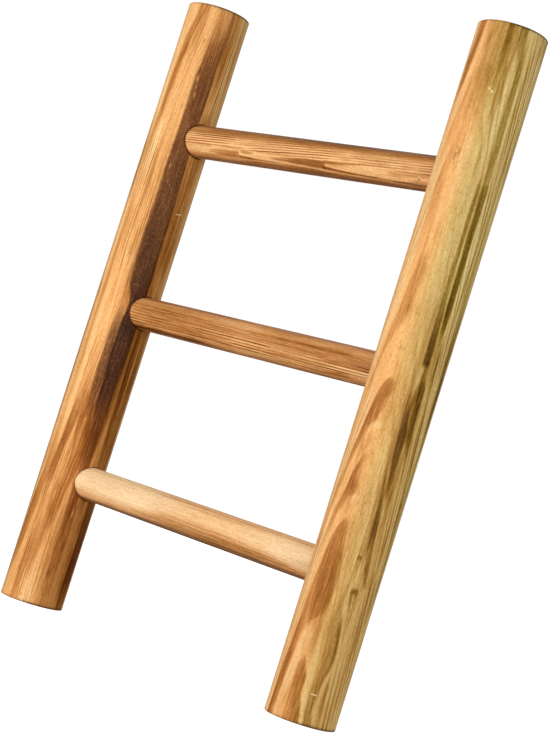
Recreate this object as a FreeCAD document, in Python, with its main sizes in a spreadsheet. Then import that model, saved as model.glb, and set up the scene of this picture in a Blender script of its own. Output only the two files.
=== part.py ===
# Small towel ladder of turned pine: two round rails joined by three round rungs.
# Every rung end sits in a blind bore in the rail and is pinned from the back with
# a thin lost-head nail, so the front and the outer sides stay plain.
#
# Frame: millimetres, +Z up along the rails, +X from the left rail to the right rail,
# -Y is the front.  The origin is on the floor, midway between the two rail feet.
import FreeCAD, Part
import math
import os

import Sketcher

V = FreeCAD.Vector
doc = FreeCAD.newDocument("towel_ladder")

# ---------------------------------------------------------------- driving sizes
SIZES = [
    # alias, value, meaning
    ("rail_diameter", 50.0, "diameter of a rail"),
    ("rail_length", 490.0, "length of a rail, foot to top"),
    ("rail_spacing", 300.0, "distance between the two rail axes"),
    ("rail_arris", 0.8, "broken edge at both ends of a rail"),
    ("rung_diameter", 26.0, "diameter of a rung"),
    ("rung_low", 102.0, "height of the bottom rung's axis"),
    ("rung_mid", 241.5, "height of the middle rung's axis"),
    ("rung_high", 384.0, "height of the top rung's axis"),
    ("rung_depth", 34.0, "length of rung inside a rail, from the rail's inner line"),
    ("rung_chamfer", 1.5, "lead-in chamfer on a rung's ends"),
    ("bore_depth", 36.0, "depth of a blind bore, from the rail's inner line"),
    ("bore_gap", 0.15, "radial glue gap round a rung in its bore"),
    ("pin_diameter", 2.0, "shank diameter of a nail"),
    ("pin_length", 40.0, "length of a nail, head to point"),
    ("pin_head", 3.2, "head diameter of a nail"),
    ("pin_head_height", 1.6, "height of a nail's head"),
    ("pin_point", 3.5, "length of a nail's point"),
    ("pin_set", 0.4, "how far a head is set under the rail's back"),
    ("pin_gap", 0.04, "radial gap round a nail in its pilot hole"),
]
sheet = doc.addObject("Spreadsheet::Sheet", "Sizes")
for row, (alias, value, meaning) in enumerate(SIZES, start=1):
    sheet.set("A%d" % row, meaning)
    sheet.set("B%d" % row, "%g" % value)
    sheet.setAlias("B%d" % row, alias)
doc.recompute()


def size(alias):
    return float(getattr(sheet, alias))


def plane(body, role):
    """One of a body's own origin planes."""
    return next(f for f in body.Origin.OriginFeatures if f.Role == role)


def sketch_on(body, name, role, offset=None):
    """A sketch on an origin plane; offset is an expression along the plane's normal."""
    sk = body.newObject("Sketcher::SketchObject", name)
    sk.AttachmentSupport = [(plane(body, role), "")]
    sk.MapMode = "FlatFace"
    if offset:
        sk.setExpression("AttachmentOffset.Base.z", offset)
    return sk


def circle(sk, radius, across=None, up=None):
    """A circle in a sketch.  radius, across and up are expressions; None means zero."""
    geo = sk.addGeometry(Part.Circle(V(1, 1, 0), V(0, 0, 1), 3.0), False)
    n = sk.addConstraint(Sketcher.Constraint("Radius", geo, 3.0))
    sk.setExpression("Constraints[%d]" % n, radius)
    for kind, value in (("DistanceX", across), ("DistanceY", up)):
        n = sk.addConstraint(Sketcher.Constraint(kind, -1, 1, geo, 3, 1.0))
        if value is None:
            sk.setDatum(n, FreeCAD.Units.Quantity(0))
        else:
            sk.setExpression("Constraints[%d]" % n, value)
    return geo


def round_edges(shape, axis):
    """Names of the closed round edges whose plane is square to axis."""
    found = []
    for i, e in enumerate(shape.Edges, start=1):
        if isinstance(e.Curve, Part.Circle) and e.isClosed():
            if abs(abs(e.Curve.Axis.dot(axis)) - 1) < 1e-6:
                found.append("Edge%d" % i)
    return found


def cut_towards(body, sk, name, ways):
    """A pocket through everything on one side of a sketch; ways is that side, a world
    direction.  The removed volume's side is tested and the pocket turned if needed."""
    doc.recompute()
    before = body.Shape.copy()
    pocket = body.newObject("PartDesign::Pocket", name)
    pocket.Profile = sk
    pocket.Type = 1
    doc.recompute()

    base = sk.getGlobalPlacement().Base

    def removed():
        """Volume taken away, if all of it lies on the wanted side; otherwise zero."""
        solids = before.cut(pocket.Shape).Solids
        if any((s.CenterOfMass - base).dot(ways) < 0 for s in solids):
            return 0.0
        return sum(s.Volume for s in solids)

    if removed() < 1e-6:
        pocket.Reversed = not pocket.Reversed
        doc.recompute()
    gone = removed()
    if gone < 1e-6:
        raise RuntimeError("%s of %s removes nothing" % (name, body.Label))
    return pocket, gone


RUNGS = [("bottom", "rung_low"), ("middle", "rung_mid"), ("top", "rung_high")]
SIDES = [("left", -1), ("right", 1)]
made = []
notes = []

# ---------------------------------------------------------------- rails
for side, sign in SIDES:
    body = doc.addObject("PartDesign::Body", side + "_rail")
    body.Label = side + "_rail"

    section = sketch_on(body, side + "_section", "XY_Plane")
    circle(section, "Sizes.rail_diameter / 2")
    pole = body.newObject("PartDesign::Pad", side + "_pole")
    pole.Profile = section
    pole.setExpression("Length", "Sizes.rail_length")
    doc.recompute()

    arris = body.newObject("PartDesign::Chamfer", side + "_arris")
    arris.Base = (pole, round_edges(pole.Shape, V(0, 0, 1)))
    arris.setExpression("Size", "Sizes.rail_arris")
    doc.recompute()

    # three blind bores that open towards the other rail
    outwards = "" if sign > 0 else "-"
    bores = sketch_on(
        body,
        side + "_bore_centres",
        "YZ_Plane",
        outwards + "(Sizes.bore_depth - Sizes.rail_diameter / 2)",
    )
    for _, level in RUNGS:
        circle(bores, "Sizes.rung_diameter / 2 + Sizes.bore_gap", None, "Sizes." + level)
    _, gone = cut_towards(body, bores, side + "_bores", V(-sign, 0, 0))
    notes.append("%s bores remove %.0f mm3" % (side, gone))

    # pilot holes for the nails, straight in from the back along the rail's middle plane
    point = "(Sizes.rail_diameter / 2 - Sizes.pin_set - Sizes.pin_length)"
    pilots = sketch_on(body, side + "_pilot_centres", "XZ_Plane", "-" + point)
    for _, level in RUNGS:
        circle(pilots, "Sizes.pin_diameter / 2 + Sizes.pin_gap", None, "Sizes." + level)
    _, gone = cut_towards(body, pilots, side + "_pilots", V(0, 1, 0))
    notes.append("%s pilots remove %.1f mm3" % (side, gone))

    # the set that takes each nail's head
    seat = "(Sizes.rail_diameter / 2 - Sizes.pin_set - Sizes.pin_head_height)"
    sets = sketch_on(body, side + "_set_centres", "XZ_Plane", "-" + seat)
    for _, level in RUNGS:
        circle(sets, "Sizes.pin_head / 2 + Sizes.pin_gap", None, "Sizes." + level)
    last, gone = cut_towards(body, sets, side + "_sets", V(0, 1, 0))
    notes.append("%s sets remove %.1f mm3" % (side, gone))

    body.Tip = last
    body.setExpression(
        "Placement.Base.x", ("" if sign > 0 else "-") + "Sizes.rail_spacing / 2"
    )
    made.append(body)

# ---------------------------------------------------------------- rungs
for name, level in RUNGS:
    body = doc.addObject("PartDesign::Body", name + "_rung")
    body.Label = name + "_rung"

    section = sketch_on(body, name + "_section", "YZ_Plane")
    circle(section, "Sizes.rung_diameter / 2")
    dowel = body.newObject("PartDesign::Pad", name + "_dowel")
    dowel.Profile = section
    dowel.Midplane = True
    dowel.setExpression(
        "Length", "Sizes.rail_spacing - Sizes.rail_diameter + 2 * Sizes.rung_depth"
    )
    doc.recompute()

    lead = body.newObject("PartDesign::Chamfer", name + "_lead")
    lead.Base = (dowel, round_edges(dowel.Shape, V(1, 0, 0)))
    lead.setExpression("Size", "Sizes.rung_chamfer")
    doc.recompute()

    # a nail hole across each end, on the rail's axis
    holes = sketch_on(body, name + "_hole_centres", "XZ_Plane", "Sizes.rung_diameter")
    circle(holes, "Sizes.pin_diameter / 2 + Sizes.pin_gap", "Sizes.rail_spacing / 2", None)
    circle(holes, "Sizes.pin_diameter / 2 + Sizes.pin_gap", "-Sizes.rail_spacing / 2", None)
    last, gone = cut_towards(body, holes, name + "_holes", V(0, 1, 0))
    notes.append("%s rung holes remove %.1f mm3" % (name, gone))

    body.Tip = last
    body.setExpression("Placement.Base.z", "Sizes." + level)
    made.append(body)

# ---------------------------------------------------------------- nails
for name, level in RUNGS:
    for side, sign in SIDES:
        label = "%s_%s_pin" % (name, side)
        body = doc.addObject("PartDesign::Body", label)
        body.Label = label
        half = sketch_on(body, label + "_half", "XZ_Plane")
        # half section, point down: point, shank, flat under the head, head
        corners = [
            (0.0, 0.0),
            (1.0, 3.5),
            (1.0, 38.4),
            (1.6, 38.4),
            (1.6, 39.7),
            (1.3, 40.0),
            (0.0, 40.0),
        ]
        n = len(corners)
        for i in range(n):
            a, b = corners[i], corners[(i + 1) % n]
            half.addGeometry(Part.LineSegment(V(a[0], a[1], 0), V(b[0], b[1], 0)), False)
        for i in range(n):
            half.addConstraint(Sketcher.Constraint("Coincident", i, 2, (i + 1) % n, 1))

        def pin_down(i, across, up):
            """Ties the start of line i to expressions across and up from the point."""
            for kind, value, now in (("DistanceX", across, 0), ("DistanceY", up, 1)):
                if value is None:
                    continue
                k = half.addConstraint(
                    Sketcher.Constraint(kind, -1, 1, i, 1, max(corners[i][now], 0.1))
                )
                half.setExpression("Constraints[%d]" % k, value)

        half.addConstraint(Sketcher.Constraint("Coincident", 0, 1, -1, 1))
        pin_down(1, "Sizes.pin_diameter / 2", "Sizes.pin_point")
        pin_down(2, "Sizes.pin_diameter / 2", "Sizes.pin_length - Sizes.pin_head_height")
        pin_down(3, "Sizes.pin_head / 2", "Sizes.pin_length - Sizes.pin_head_height")
        pin_down(4, "Sizes.pin_head / 2", "Sizes.pin_length - 0.3")
        pin_down(5, "Sizes.pin_head / 2 - 0.3", "Sizes.pin_length")
        half.addConstraint(Sketcher.Constraint("PointOnObject", 6, 1, -2))
        k = half.addConstraint(Sketcher.Constraint("DistanceY", -1, 1, 6, 1, 40.0))
        half.setExpression("Constraints[%d]" % k, "Sizes.pin_length")
        turned = body.newObject("PartDesign::Revolution", label + "_turned")
        turned.Profile = half
        turned.ReferenceAxis = (half, ["V_Axis"])
        turned.Angle = 360.0
        doc.recompute()

        body.Tip = turned
        # laid along +Y, head at the back
        body.Placement = FreeCAD.Placement(V(0, 0, 0), FreeCAD.Rotation(V(1, 0, 0), -90))
        body.setExpression(
            "Placement.Base.x", ("" if sign > 0 else "-") + "Sizes.rail_spacing / 2"
        )
        body.setExpression(
            "Placement.Base.y",
            "Sizes.rail_diameter / 2 - Sizes.pin_set - Sizes.pin_length",
        )
        body.setExpression("Placement.Base.z", "Sizes." + level)
        made.append(body)

doc.recompute()

# ---------------------------------------------------------------- tests and export
bad = [o.Label for o in doc.Objects if "Invalid" in o.State or "Error" in o.State]
if bad:
    raise RuntimeError("failed objects: %s" % bad)
for body in made:
    s = body.Shape
    if s.isNull() or not s.isValid() or len(s.Solids) != 1 or s.Volume <= 0:
        raise RuntimeError("bad shape: %s" % body.Label)

# volumes against the sum of their simple parts
r_rail, r_rung = size("rail_diameter") / 2, size("rung_diameter") / 2
for line in notes:
    print(line)
for body in made:
    b = body.Shape.BoundBox
    print(
        "%-18s %10.1f mm3  x %.2f..%.2f  y %.2f..%.2f  z %.2f..%.2f"
        % (body.Label, body.Shape.Volume, b.XMin, b.XMax, b.YMin, b.YMax, b.ZMin, b.ZMax)
    )
plain = math.pi * r_rail**2 * size("rail_length")
bore = math.pi * (r_rung + size("bore_gap")) ** 2 * size("bore_depth")
print("plain rail %.0f mm3, one full bore at most %.0f mm3" % (plain, bore))

os.makedirs("parts", exist_ok=True)
for body in made:
    body.Shape.exportStep("parts/%s.step" % body.Label)
print("wrote %d parts" % len(made))
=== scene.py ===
import math

import bpy
import numpy as np
from mathutils import Matrix


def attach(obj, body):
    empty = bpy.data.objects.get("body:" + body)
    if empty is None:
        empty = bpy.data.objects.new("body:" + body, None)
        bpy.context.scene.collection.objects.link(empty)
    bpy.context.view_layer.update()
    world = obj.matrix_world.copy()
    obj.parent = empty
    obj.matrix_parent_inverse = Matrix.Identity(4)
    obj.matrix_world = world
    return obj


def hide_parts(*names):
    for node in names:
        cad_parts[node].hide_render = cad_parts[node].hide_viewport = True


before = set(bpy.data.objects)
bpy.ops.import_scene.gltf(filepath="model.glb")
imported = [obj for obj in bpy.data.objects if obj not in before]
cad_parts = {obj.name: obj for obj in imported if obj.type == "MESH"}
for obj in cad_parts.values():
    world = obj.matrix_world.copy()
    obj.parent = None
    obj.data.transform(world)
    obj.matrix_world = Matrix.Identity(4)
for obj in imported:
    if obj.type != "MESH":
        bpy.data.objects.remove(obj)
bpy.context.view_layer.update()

MM = 0.001

# ---------------------------------------------------------------- sizes (mm)
RAIL_R = 25.0
RAIL_L = 490.0
RAIL_X = 150.0
RAIL_ARRIS = 0.8
RUNG_R = 13.0
RUNG_HALF = 159.0
RUNG_Z = {"bottom": 102.0, "middle": 241.5, "top": 384.0}
BORE_R = 13.15
BORE_END = 161.0
MOUTH_R = 13.25
PILOT_R = 1.04
PILOT_END = -15.4
SET_R = 1.64
SET_END = 23.0


# ---------------------------------------------------------------- small maths
def smooth(x):
    x = np.clip(x, 0.0, 1.0)
    return x * x * (3.0 - 2.0 * x)


def step(a, b, x):
    return smooth((x - a) / (b - a))


def wrap(a):
    return (a + 180.0) % 360.0 - 180.0


def through(xs, ys, x):
    """A smooth curve through the points that doesn't overshoot them."""
    xs, ys = np.asarray(xs, float), np.asarray(ys, float)
    order = np.argsort(xs)
    xs, ys = xs[order], ys[order]
    if len(xs) == 1:
        return np.full(np.shape(x), ys[0])
    h = np.diff(xs)
    d = np.diff(ys) / h
    m = np.zeros(len(xs))
    m[0], m[-1] = d[0], d[-1]
    for i in range(1, len(xs) - 1):
        if d[i - 1] * d[i] > 0:
            w1, w2 = 2 * h[i] + h[i - 1], h[i] + 2 * h[i - 1]
            m[i] = (w1 + w2) / (w1 / d[i - 1] + w2 / d[i])
    x = np.clip(x, xs[0], xs[-1])
    k = np.clip(np.searchsorted(xs, x, side="right") - 1, 0, len(h) - 1)
    t = (x - xs[k]) / h[k]
    return (
        ys[k] * (1 + 2 * t) * (1 - t) ** 2
        + m[k] * h[k] * t * (1 - t) ** 2
        + ys[k + 1] * t * t * (3 - 2 * t)
        + m[k + 1] * h[k] * t * t * (t - 1)
    )


class Wander:
    """Smooth seeded noise round a pole: angle in degrees, distance along it in mm."""

    def __init__(self, seed, cells_round, cell_mm, length=560.0):
        self.n = cells_round
        self.cell = cell_mm
        rows = int(length / cell_mm) + 4
        self.table = np.random.default_rng(seed).uniform(-1, 1, (cells_round, rows))

    def __call__(self, a, s):
        u = (a % 360.0) / 360.0 * self.n
        v = np.clip((s + 20.0) / self.cell, 0, self.table.shape[1] - 2.001)
        iu, iv = np.floor(u).astype(int), np.floor(v).astype(int)
        fu, fv = smooth(u - iu), smooth(v - iv)
        i0, i1 = iu % self.n, (iu + 1) % self.n
        t = self.table
        return (t[i0, iv] * (1 - fu) + t[i1, iv] * fu) * (1 - fv) + (
            t[i0, iv + 1] * (1 - fu) + t[i1, iv + 1] * fu
        ) * fv


def blank(a):
    return {k: np.zeros(len(a)) for k in ("dark", "red", "olive", "light", "lift")}


def draw(ink, a, s, strokes):
    """Streaks drawn along the grain. Each is its ink, how soft its two sides are in
    degrees, and points (along mm, angle, width in degrees, strength). Strengths add up."""
    for name, left, right, pts in strokes:
        left, right = max(left, 2.4), max(right, 2.4)
        p = np.array(pts, float)
        c, w, k = (through(p[:, 0], p[:, i], s) for i in (1, 2, 3))
        inside = (s >= p[:, 0].min()) & (s <= p[:, 0].max())
        d = wrap(a - c)
        ink[name] += (
            k
            * inside
            * smooth((d + w / 2) / left + 0.5)
            * smooth((w / 2 - d) / right + 0.5)
        )


def leaf(ink, a, s, name, soft, left, right, strength):
    """A patch of figure between two edges. Points are (along mm, angle or strength)."""
    lo, hi, k = (through(*np.array(p, float).T, s) for p in (left, right, strength))
    at = [p[0] for p in strength]
    d, half = wrap(a - 0.5 * (lo + hi)), 0.5 * (hi - lo)
    inside = (s >= min(at)) & (s <= max(at))
    ink[name] += k * inside * smooth((d + half) / max(soft[0], 2.4) + 0.5) * smooth((half - d) / max(soft[1], 2.4) + 0.5)


def spots(ink, a, s, marks):
    """Small marks: ink, along, angle, half length in mm, half width in degrees, strength."""
    for name, s0, a0, half_s, half_a, k in marks:
        d = np.hypot((s - s0) / half_s, wrap(a - a0) / half_a)
        ink[name] += k * smooth(1.3 - d)


def settle(ink):
    """Pale streaks push the stain out of the way, and nothing runs past its range."""
    lift = np.clip(ink.pop("lift"), 0, 1)
    ink["red"] = np.clip(ink["red"] * (1 - lift), 0, 2.2)
    ink["dark"] = np.clip(ink["dark"] * (1 - lift), 0, 1.2)
    ink["light"] = np.clip(ink["light"], 0, 1)
    ink["olive"] = np.clip(ink["olive"], 0, 1)
    return ink


# ---------------------------------------------------------------- the figure of each piece
def left_rail_figure(a, s, r):
    far = Wander(11, 10, 60.0)
    near = Wander(12, 40, 22.0)
    wob = Wander(13, 120, 7.0)
    a0 = a
    a = a + 1.3 * far(a0, s) + 0.8 * near(a0, s) + 0.2 * wob(a0, s)
    ink = blank(a)
    draw(ink, a, s, [
        # warm streak that leans to the left on its way down, and its fainter twin
        ("red", 5, 5, [(492, 14, 9, 0.50), (480, 13.5, 10, 0.52), (462, 6.5, 12, 0.54), (442, 2, 13, 0.56), (422, -2.5, 13, 0.48), (402, -5, 11, 0.44), (384, -9, 11, 0.30), (366, -14, 12, 0.20), (345, -18, 12, 0.08), (320, -21, 10, 0.0)]),
        ("red", 4, 4, [(492, 25.5, 9, 0.54), (478, 25, 10, 0.50), (460, 22, 15, 0.30), (445, 22, 14, 0.14), (425, 24, 10, 0.08), (405, 24, 8, 0.0)]),
        ("red", 1.6, 2, [(492, 17, 2.4, 0.26), (468, 13, 2.6, 0.26), (445, 7, 2.6, 0.2), (420, 3, 2.2, 0.1), (400, 1, 2, 0.0)]),
        # thin lines on the outer face
        ("red", 1.6, 2.4, [(430, 21, 3.4, 0.0), (405, 21, 3.6, 0.16), (372, 20.5, 4, 0.24), (340, 20, 5, 0.26), (312, 19, 4, 0.22), (270, 18, 4, 0.12), (235, 18, 3, 0.0)]),
        ("red", 1.4, 1.8, [(385, 30, 2.4, 0.0), (360, 29, 2.8, 0.16), (330, 28.5, 3, 0.22), (290, 29, 3, 0.2), (250, 30, 3, 0.12), (215, 30, 2.5, 0.0)]),
        ("red", 2, 3, [(420, 36, 3, 0.0), (390, 36.5, 4, 0.14), (350, 36, 6, 0.26), (320, 35.5, 6, 0.24), (290, 35, 5, 0.16), (262, 34, 3, 0.0)]),
        ("red", 8, 8, [(402, 22, 18, 0.0), (374, 22, 26, 0.04), (350, 24, 28, 0.02), (334, 24, 28, -0.03), (306, 26, 26, -0.05), (282, 26, 24, -0.07), (262, 33, 14, -0.08), (248, 33, 12, 0.0)]),
        ("light", 10, 10, [(492, 20, 60, 0.14), (460, 24, 56, 0.12), (430, 26, 34, 0.14), (400, 24, 40, 0.12), (380, 22, 36, 0.10), (330, 22, 36, 0.10), (270, 24, 34, 0.08), (248, 26, 30, 0.0)]),
        ("light", 6, 6, [(394, 0, 18, 0.0), (378, 0, 20, 0.30), (362, 0, 20, 0.30), (345, -3, 14, 0.12), (325, -4, 12, 0.0)]),
        ("lift", 6, 6, [(492, 104, 26, 0.14), (460, 100, 24, 0.16), (430, 104, 26, 0.14), (396, 106, 24, 0.14), (378, 106, 18, 0.0)]),
        ("red", 4, 4, [(462, 10, 5, 0.0), (451, 9, 8, 0.30), (441, 6, 9, 0.14), (430, 4, 7, 0.0)]),
        ("red", 4, 4, [(421, 1, 5, 0.0), (410, 0, 7, -0.24), (399, 0, 5, 0.0)]),
        ("dark", 3, 3, [(301, 40, 4, 0.0), (290, 40, 6, 0.12), (279, 40, 4, 0.0)]),
        ("red", 4, 4, [(183, 105, 4, 0.0), (170, 105, 7, -0.26), (158, 105, 4, 0.0)]),
        ("dark", 4, 4, [(172, 60, 4, 0.0), (160, 60, 7, -0.13), (148, 60, 4, 0.0)]),
        ("red", 4, 4, [(33, 95, 5, 0.0), (20, 95, 8, 0.28), (6, 95, 6, 0.0)]),
        ("red", 4, 4, [(283, 90, 4, 0.0), (270, 90, 7, -0.26), (258, 90, 4, 0.0)]),
        ("red", 4, 4, [(193, 80, 4, 0.0), (180, 80, 6, -0.28), (168, 80, 4, 0.0)]),
        # painted sheen: pale strip down the lower left edge
        ("light", 5, 5, [(110, -27, 8, 0.0), (80, -27, 11, 0.35), (50, -26, 13, 0.5), (8, -25, 12, 0.45)]),
        ("red", 4, 4, [(411, 25, 6, 0.0), (400, 25, 9, 0.08), (388, 25, 6, 0.0)]),
        ("red", 8, 8, [(214, 20, 16, 0.0), (194, 20, 18, 0.09), (172, 19, 20, 0.10), (150, 20, 20, 0.06), (136, 20, 18, 0.0)]),
        # darker outer side
        ("red", 5, 7, [(402, -33, 12, 0.0), (384, -31, 14, 0.36), (366, -30, 16, 0.60), (345, -31, 15, 0.60), (326, -33, 13, 0.28), (300, -34, 12, 0.16), (270, -33, 14, 0.22), (250, -33, 15, 0.36), (220, -33, 16, 0.46), (180, -33, 16, 0.44), (140, -33, 15, 0.36), (110, -33, 15, 0.34), (80, -33, 16, 0.46), (40, -34, 16, 0.52), (14, -36, 14, 0.3), (-2, -37, 12, 0.2)]),
        ("dark", 5, 7, [(390, -36, 10, 0.0), (366, -35, 12, 0.08), (340, -35, 12, 0.08), (315, -36, 10, 0.02), (250, -36, 12, 0.06), (200, -36, 13, 0.10), (120, -36, 13, 0.08), (60, -36, 14, 0.12), (20, -38, 12, 0.06), (-2, -38, 12, 0.04)]),
        ("red", 1.4, 1.8, [(360, 12.5, 2.4, 0.0), (335, 12, 3, 0.12), (300, 11.5, 3.4, 0.16), (262, 11, 3, 0.1), (225, 11, 2.4, 0.14), (190, 11.5, 2.4, 0.1), (165, 12, 2, 0.0)]),
        # left edge, down to the brown left side of the foot
        ("red", 3, 3.5, [(335, -4, 7, 0.0), (312, -5, 7, 0.34), (282, -5.5, 8, 0.38), (258, -5, 8, 0.42), (240, -6, 7, 0.18), (200, -7, 6, 0.14), (165, -8, 6, 0.10), (140, -7, 9, 0.14), (125, -5, 14, 0.30), (108, -2, 19, 0.48), (92, -7, 19, 0.62), (72, -11, 21, 0.74), (52, -15, 20, 0.76), (34, -19, 18, 0.60), (18, -23, 14, 0.34), (-2, -25, 12, 0.12)]),
        ("red", 4, 4, [(270, -20, 8, 0.0), (240, -19, 8, 0.08), (210, -17, 8, 0.0), (180, -16, 8, 0.04), (160, -15, 8, 0.10), (135, -16, 9, 0.14), (110, -18, 10, 0.24), (90, -20, 10, 0.0)]),
        # brown figure on the lower face
        ("red", 4, 4, [(188, 25, 8, 0.0), (172, 24, 12, 0.24), (156, 21, 18, 0.50), (143, 18, 17, 0.70), (130, 15, 15, 0.84), (116, 13, 14, 0.78), (102, 11, 13, 0.62), (90, 9, 12, 0.32), (76, 12, 10, 0.16), (60, 14, 12, 0.30), (45, 14, 12, 0.50), (30, 13, 12, 0.62), (14, 12, 11, 0.50), (-2, 11, 10, 0.40)]),
        ("red", 2.6, 4, [(262, 44, 5, 0.0), (246, 42, 11, 0.24), (230, 41, 14, 0.20), (210, 41, 17, 0.20), (190, 41, 17, 0.26), (172, 40, 16, 0.64), (158, 40.4, 18.4, 0.88), (142, 42, 24, 0.82), (130, 46, 24, 0.78), (116, 47, 20, 0.72), (104, 46, 18, 0.64), (92, 42, 16, 0.56), (80, 40, 14, 0.54), (68, 38, 11, 0.50), (56, 36, 8, 0.20), (44, 35, 6, 0.0)]),
        ("dark", 3, 6, [(246, 46, 8, 0.0), (232, 43.6, 13, 0.26), (212, 43.4, 15.8, 0.52), (192, 43, 16.8, 0.56), (174, 44, 17, 0.44), (158, 46, 14, 0.18), (144, 50, 10, 0.0)]),
        ("red", 3, 4, [(86, 30, 6, 0.0), (72, 29, 9, 0.28), (58, 27, 10, 0.32), (44, 26, 10, 0.32), (30, 25, 9, 0.24), (14, 24, 7, 0.08), (2, 24, 6, 0.0)]),
        ("red", 4, 5, [(86, 55, 7, 0.0), (72, 55, 10, 0.40), (50, 54.5, 11, 0.46), (30, 54, 11, 0.44), (10, 54, 10, 0.22), (-2, 54, 10, 0.1)]),
        ("red", 12, 12, [(156, 34, 46, 0.0), (124, 34, 54, 0.10), (92, 36, 58, 0.14), (62, 34, 52, 0.08), (34, 34, 50, 0.04), (12, 36, 46, 0.0)]),
        # painted shadow: the inner face darkened just under the bottom rung
        ("red", 8, 8, [(101, 94, 50, 0.0), (94, 94, 50, 0.24), (85, 94, 50, 0.22), (74, 94, 50, 0.0)]),
        ("red", 5, 5, [(322, 5, 8, 0.0), (302, 5, 9, 0.08), (280, 5, 9, 0.10), (264, 5, 8, 0.04), (250, 5, 8, 0.0)]),
        ("red", 4, 4, [(336, -28, 10, 0.0), (312, -28, 12, 0.12), (260, -28, 12, 0.12), (230, -28, 12, 0.16), (190, -28, 12, 0.14), (150, -28, 12, 0.10), (120, -28, 10, 0.0)]),
        ("lift", 4, 4, [(428, 110, 10, 0.0), (410, 110, 16, 0.36), (392, 110, 16, 0.34), (376, 110, 12, 0.0)]),
        ("lift", 4, 4, [(476, 54, 8, 0.0), (462, 54.5, 9, 0.24), (448, 54, 8, 0.0)]),
        ("red", 4, 4, [(96, 5, 6, 0.0), (72, 5, 8, 0.14), (52, 4, 6, 0.0)]),
        ("red", 4, 4, [(150, 75, 6, 0.0), (130, 75, 8, 0.12), (108, 75, 6, 0.0)]),
        ("dark", 4, 4, [(160, 115, 10, 0.0), (132, 115, 12, 0.08), (104, 115, 10, 0.0)]),
        ("red", 4, 4, [(362, -25, 8, 0.0), (342, -25, 9, 0.12), (322, -25, 8, 0.0)]),
        ("dark", 4, 4, [(298, 39.5, 5, 0.0), (284, 39.5, 6, 0.16), (272, 40, 6, 0.18), (263, 41, 6, 0.16), (256, 42, 5, 0.0)]),
        ("red", 4, 4, [(290, 39, 6, 0.0), (276, 39, 8, 0.18), (262, 40, 10, 0.36), (252, 42, 12, 0.20), (242, 44, 12, 0.0)]),
        ("dark", 6, 6, [(102, 121, 10, 0.0), (86, 121, 14, 0.20), (60, 121, 14, 0.22), (44, 121, 12, 0.14), (28, 121, 10, 0.0)]),
        ("red", 3, 3, [(174, 90, 4, 0.0), (161, 90, 5, 0.44), (148, 90, 5, 0.44), (138, 90, 5, 0.38), (124, 90, 4, 0.0)]),
        ("red", 4, 4, [(102, 30, 6, 0.0), (90, 30, 8, 0.34), (77, 30, 8, 0.34), (65, 30, 7, 0.0)]),
        ("red", 2.4, 2.4, [(380, 19, 4, 0.0), (362, 18.5, 5, 0.20), (340, 18.5, 5, 0.24), (318, 18.5, 4.4, 0.24), (300, 18, 4, 0.0)]),
        ("red", 2.4, 2.4, [(372, 11, 4, 0.0), (358, 11, 5, 0.24), (344, 11, 4.4, 0.14), (332, 11, 4, 0.0)]),
        ("red", 2.4, 2.4, [(352, 27.5, 4, 0.0), (334, 27, 4.6, 0.20), (312, 26.5, 4.6, 0.24), (290, 27, 4.4, 0.20), (272, 28, 4, 0.0)]),
        ("red", 2.4, 2.4, [(318, 32.5, 4, 0.0), (302, 32.5, 4.6, 0.26), (286, 32, 4.4, 0.20), (270, 32, 4, 0.0)]),
        ("red", 4, 4, [(214, 110, 6, 0.0), (200, 110, 8, 0.26), (186, 110, 6, 0.0)]),
        ("dark", 4, 4, [(48, 105, 4, 0.0), (40, 105, 7, -0.12), (28, 105, 7, -0.12), (18, 105, 5, 0.0)]),
        ("red", 5, 5, [(146, 40, 6, 0.0), (134, 40, 9, -0.36), (124, 40, 9, -0.30), (114, 40, 6, 0.0)]),
        ("light", 5, 5, [(468, 118, 8, 0.0), (480, 118, 10, 0.4), (492, 118, 10, 0.4)]),
        ("dark", 5, 5, [(262, -21, 5, 0.0), (250, -21, 7, 0.15), (240, -21, 5, 0.0)]),
        ("red", 4, 4, [(212, 75, 4, 0.0), (200, 75, 7, 0.3), (190, 75, 4, 0.0)]),
        ("red", 4, 4, [(54, 95, 5, 0.0), (42, 95, 7, 0.34), (32, 95, 5, 0.0)]),
        ("red", 4, 4, [(270, 80, 4, 0.0), (260, 80, 7, -0.2), (250, 80, 4, 0.0)]),
        ("dark", 4, 4, [(270, 80, 4, 0.0), (260, 80, 7, -0.08), (250, 80, 4, 0.0)]),
        ("dark", 4, 4, [(240, 70, 4, 0.0), (230, 70, 7, 0.16), (222, 70, 4, 0.0)]),
        ("dark", 5, 5, [(144, 120, 5, 0.0), (130, 120, 8, 0.15), (118, 120, 5, 0.0)]),
        ("dark", 5, 5, [(314, 120, 5, 0.0), (300, 120, 8, 0.15), (288, 120, 5, 0.0)]),
        ("red", 5, 5, [(336, 25, 5, 0.0), (322, 25, 9, -0.34), (308, 25, 9, -0.34), (296, 25, 5, 0.0)]),
        ("dark", 4, 4, [(300, 45, 4, 0.0), (290, 45, 7, -0.17), (281, 45, 4, 0.0)]),
        ("red", 5, 5, [(424, 87, 6, 0.0), (410, 87, 11, -0.34), (398, 87, 6, 0.0)]),
        ("red", 5, 5, [(122, 60, 5, 0.0), (110, 60, 8, -0.34), (98, 60, 5, 0.0)]),
        # painted sheen: pale greyish strips along both edges of the pole, with a little darkening on the left one
        ("light", 6, 8, [(492, -24, 22, 0.58), (300, -24, 20, 0.58), (0, -24, 20, 0.58)]),
        ("dark", 6, 6, [(492, -24, 10, 0.07), (300, -23, 10, 0.09), (0, -23, 10, 0.07)]),
        ("light", 6, 6, [(492, 121, 14, 0.2), (300, 121, 12, 0.2), (0, 121, 12, 0.2)]),
        ("red", 4, 4, [(82, 95, 5, 0.0), (70, 95, 7, 0.34), (60, 95, 5, 0.0)]),
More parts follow.
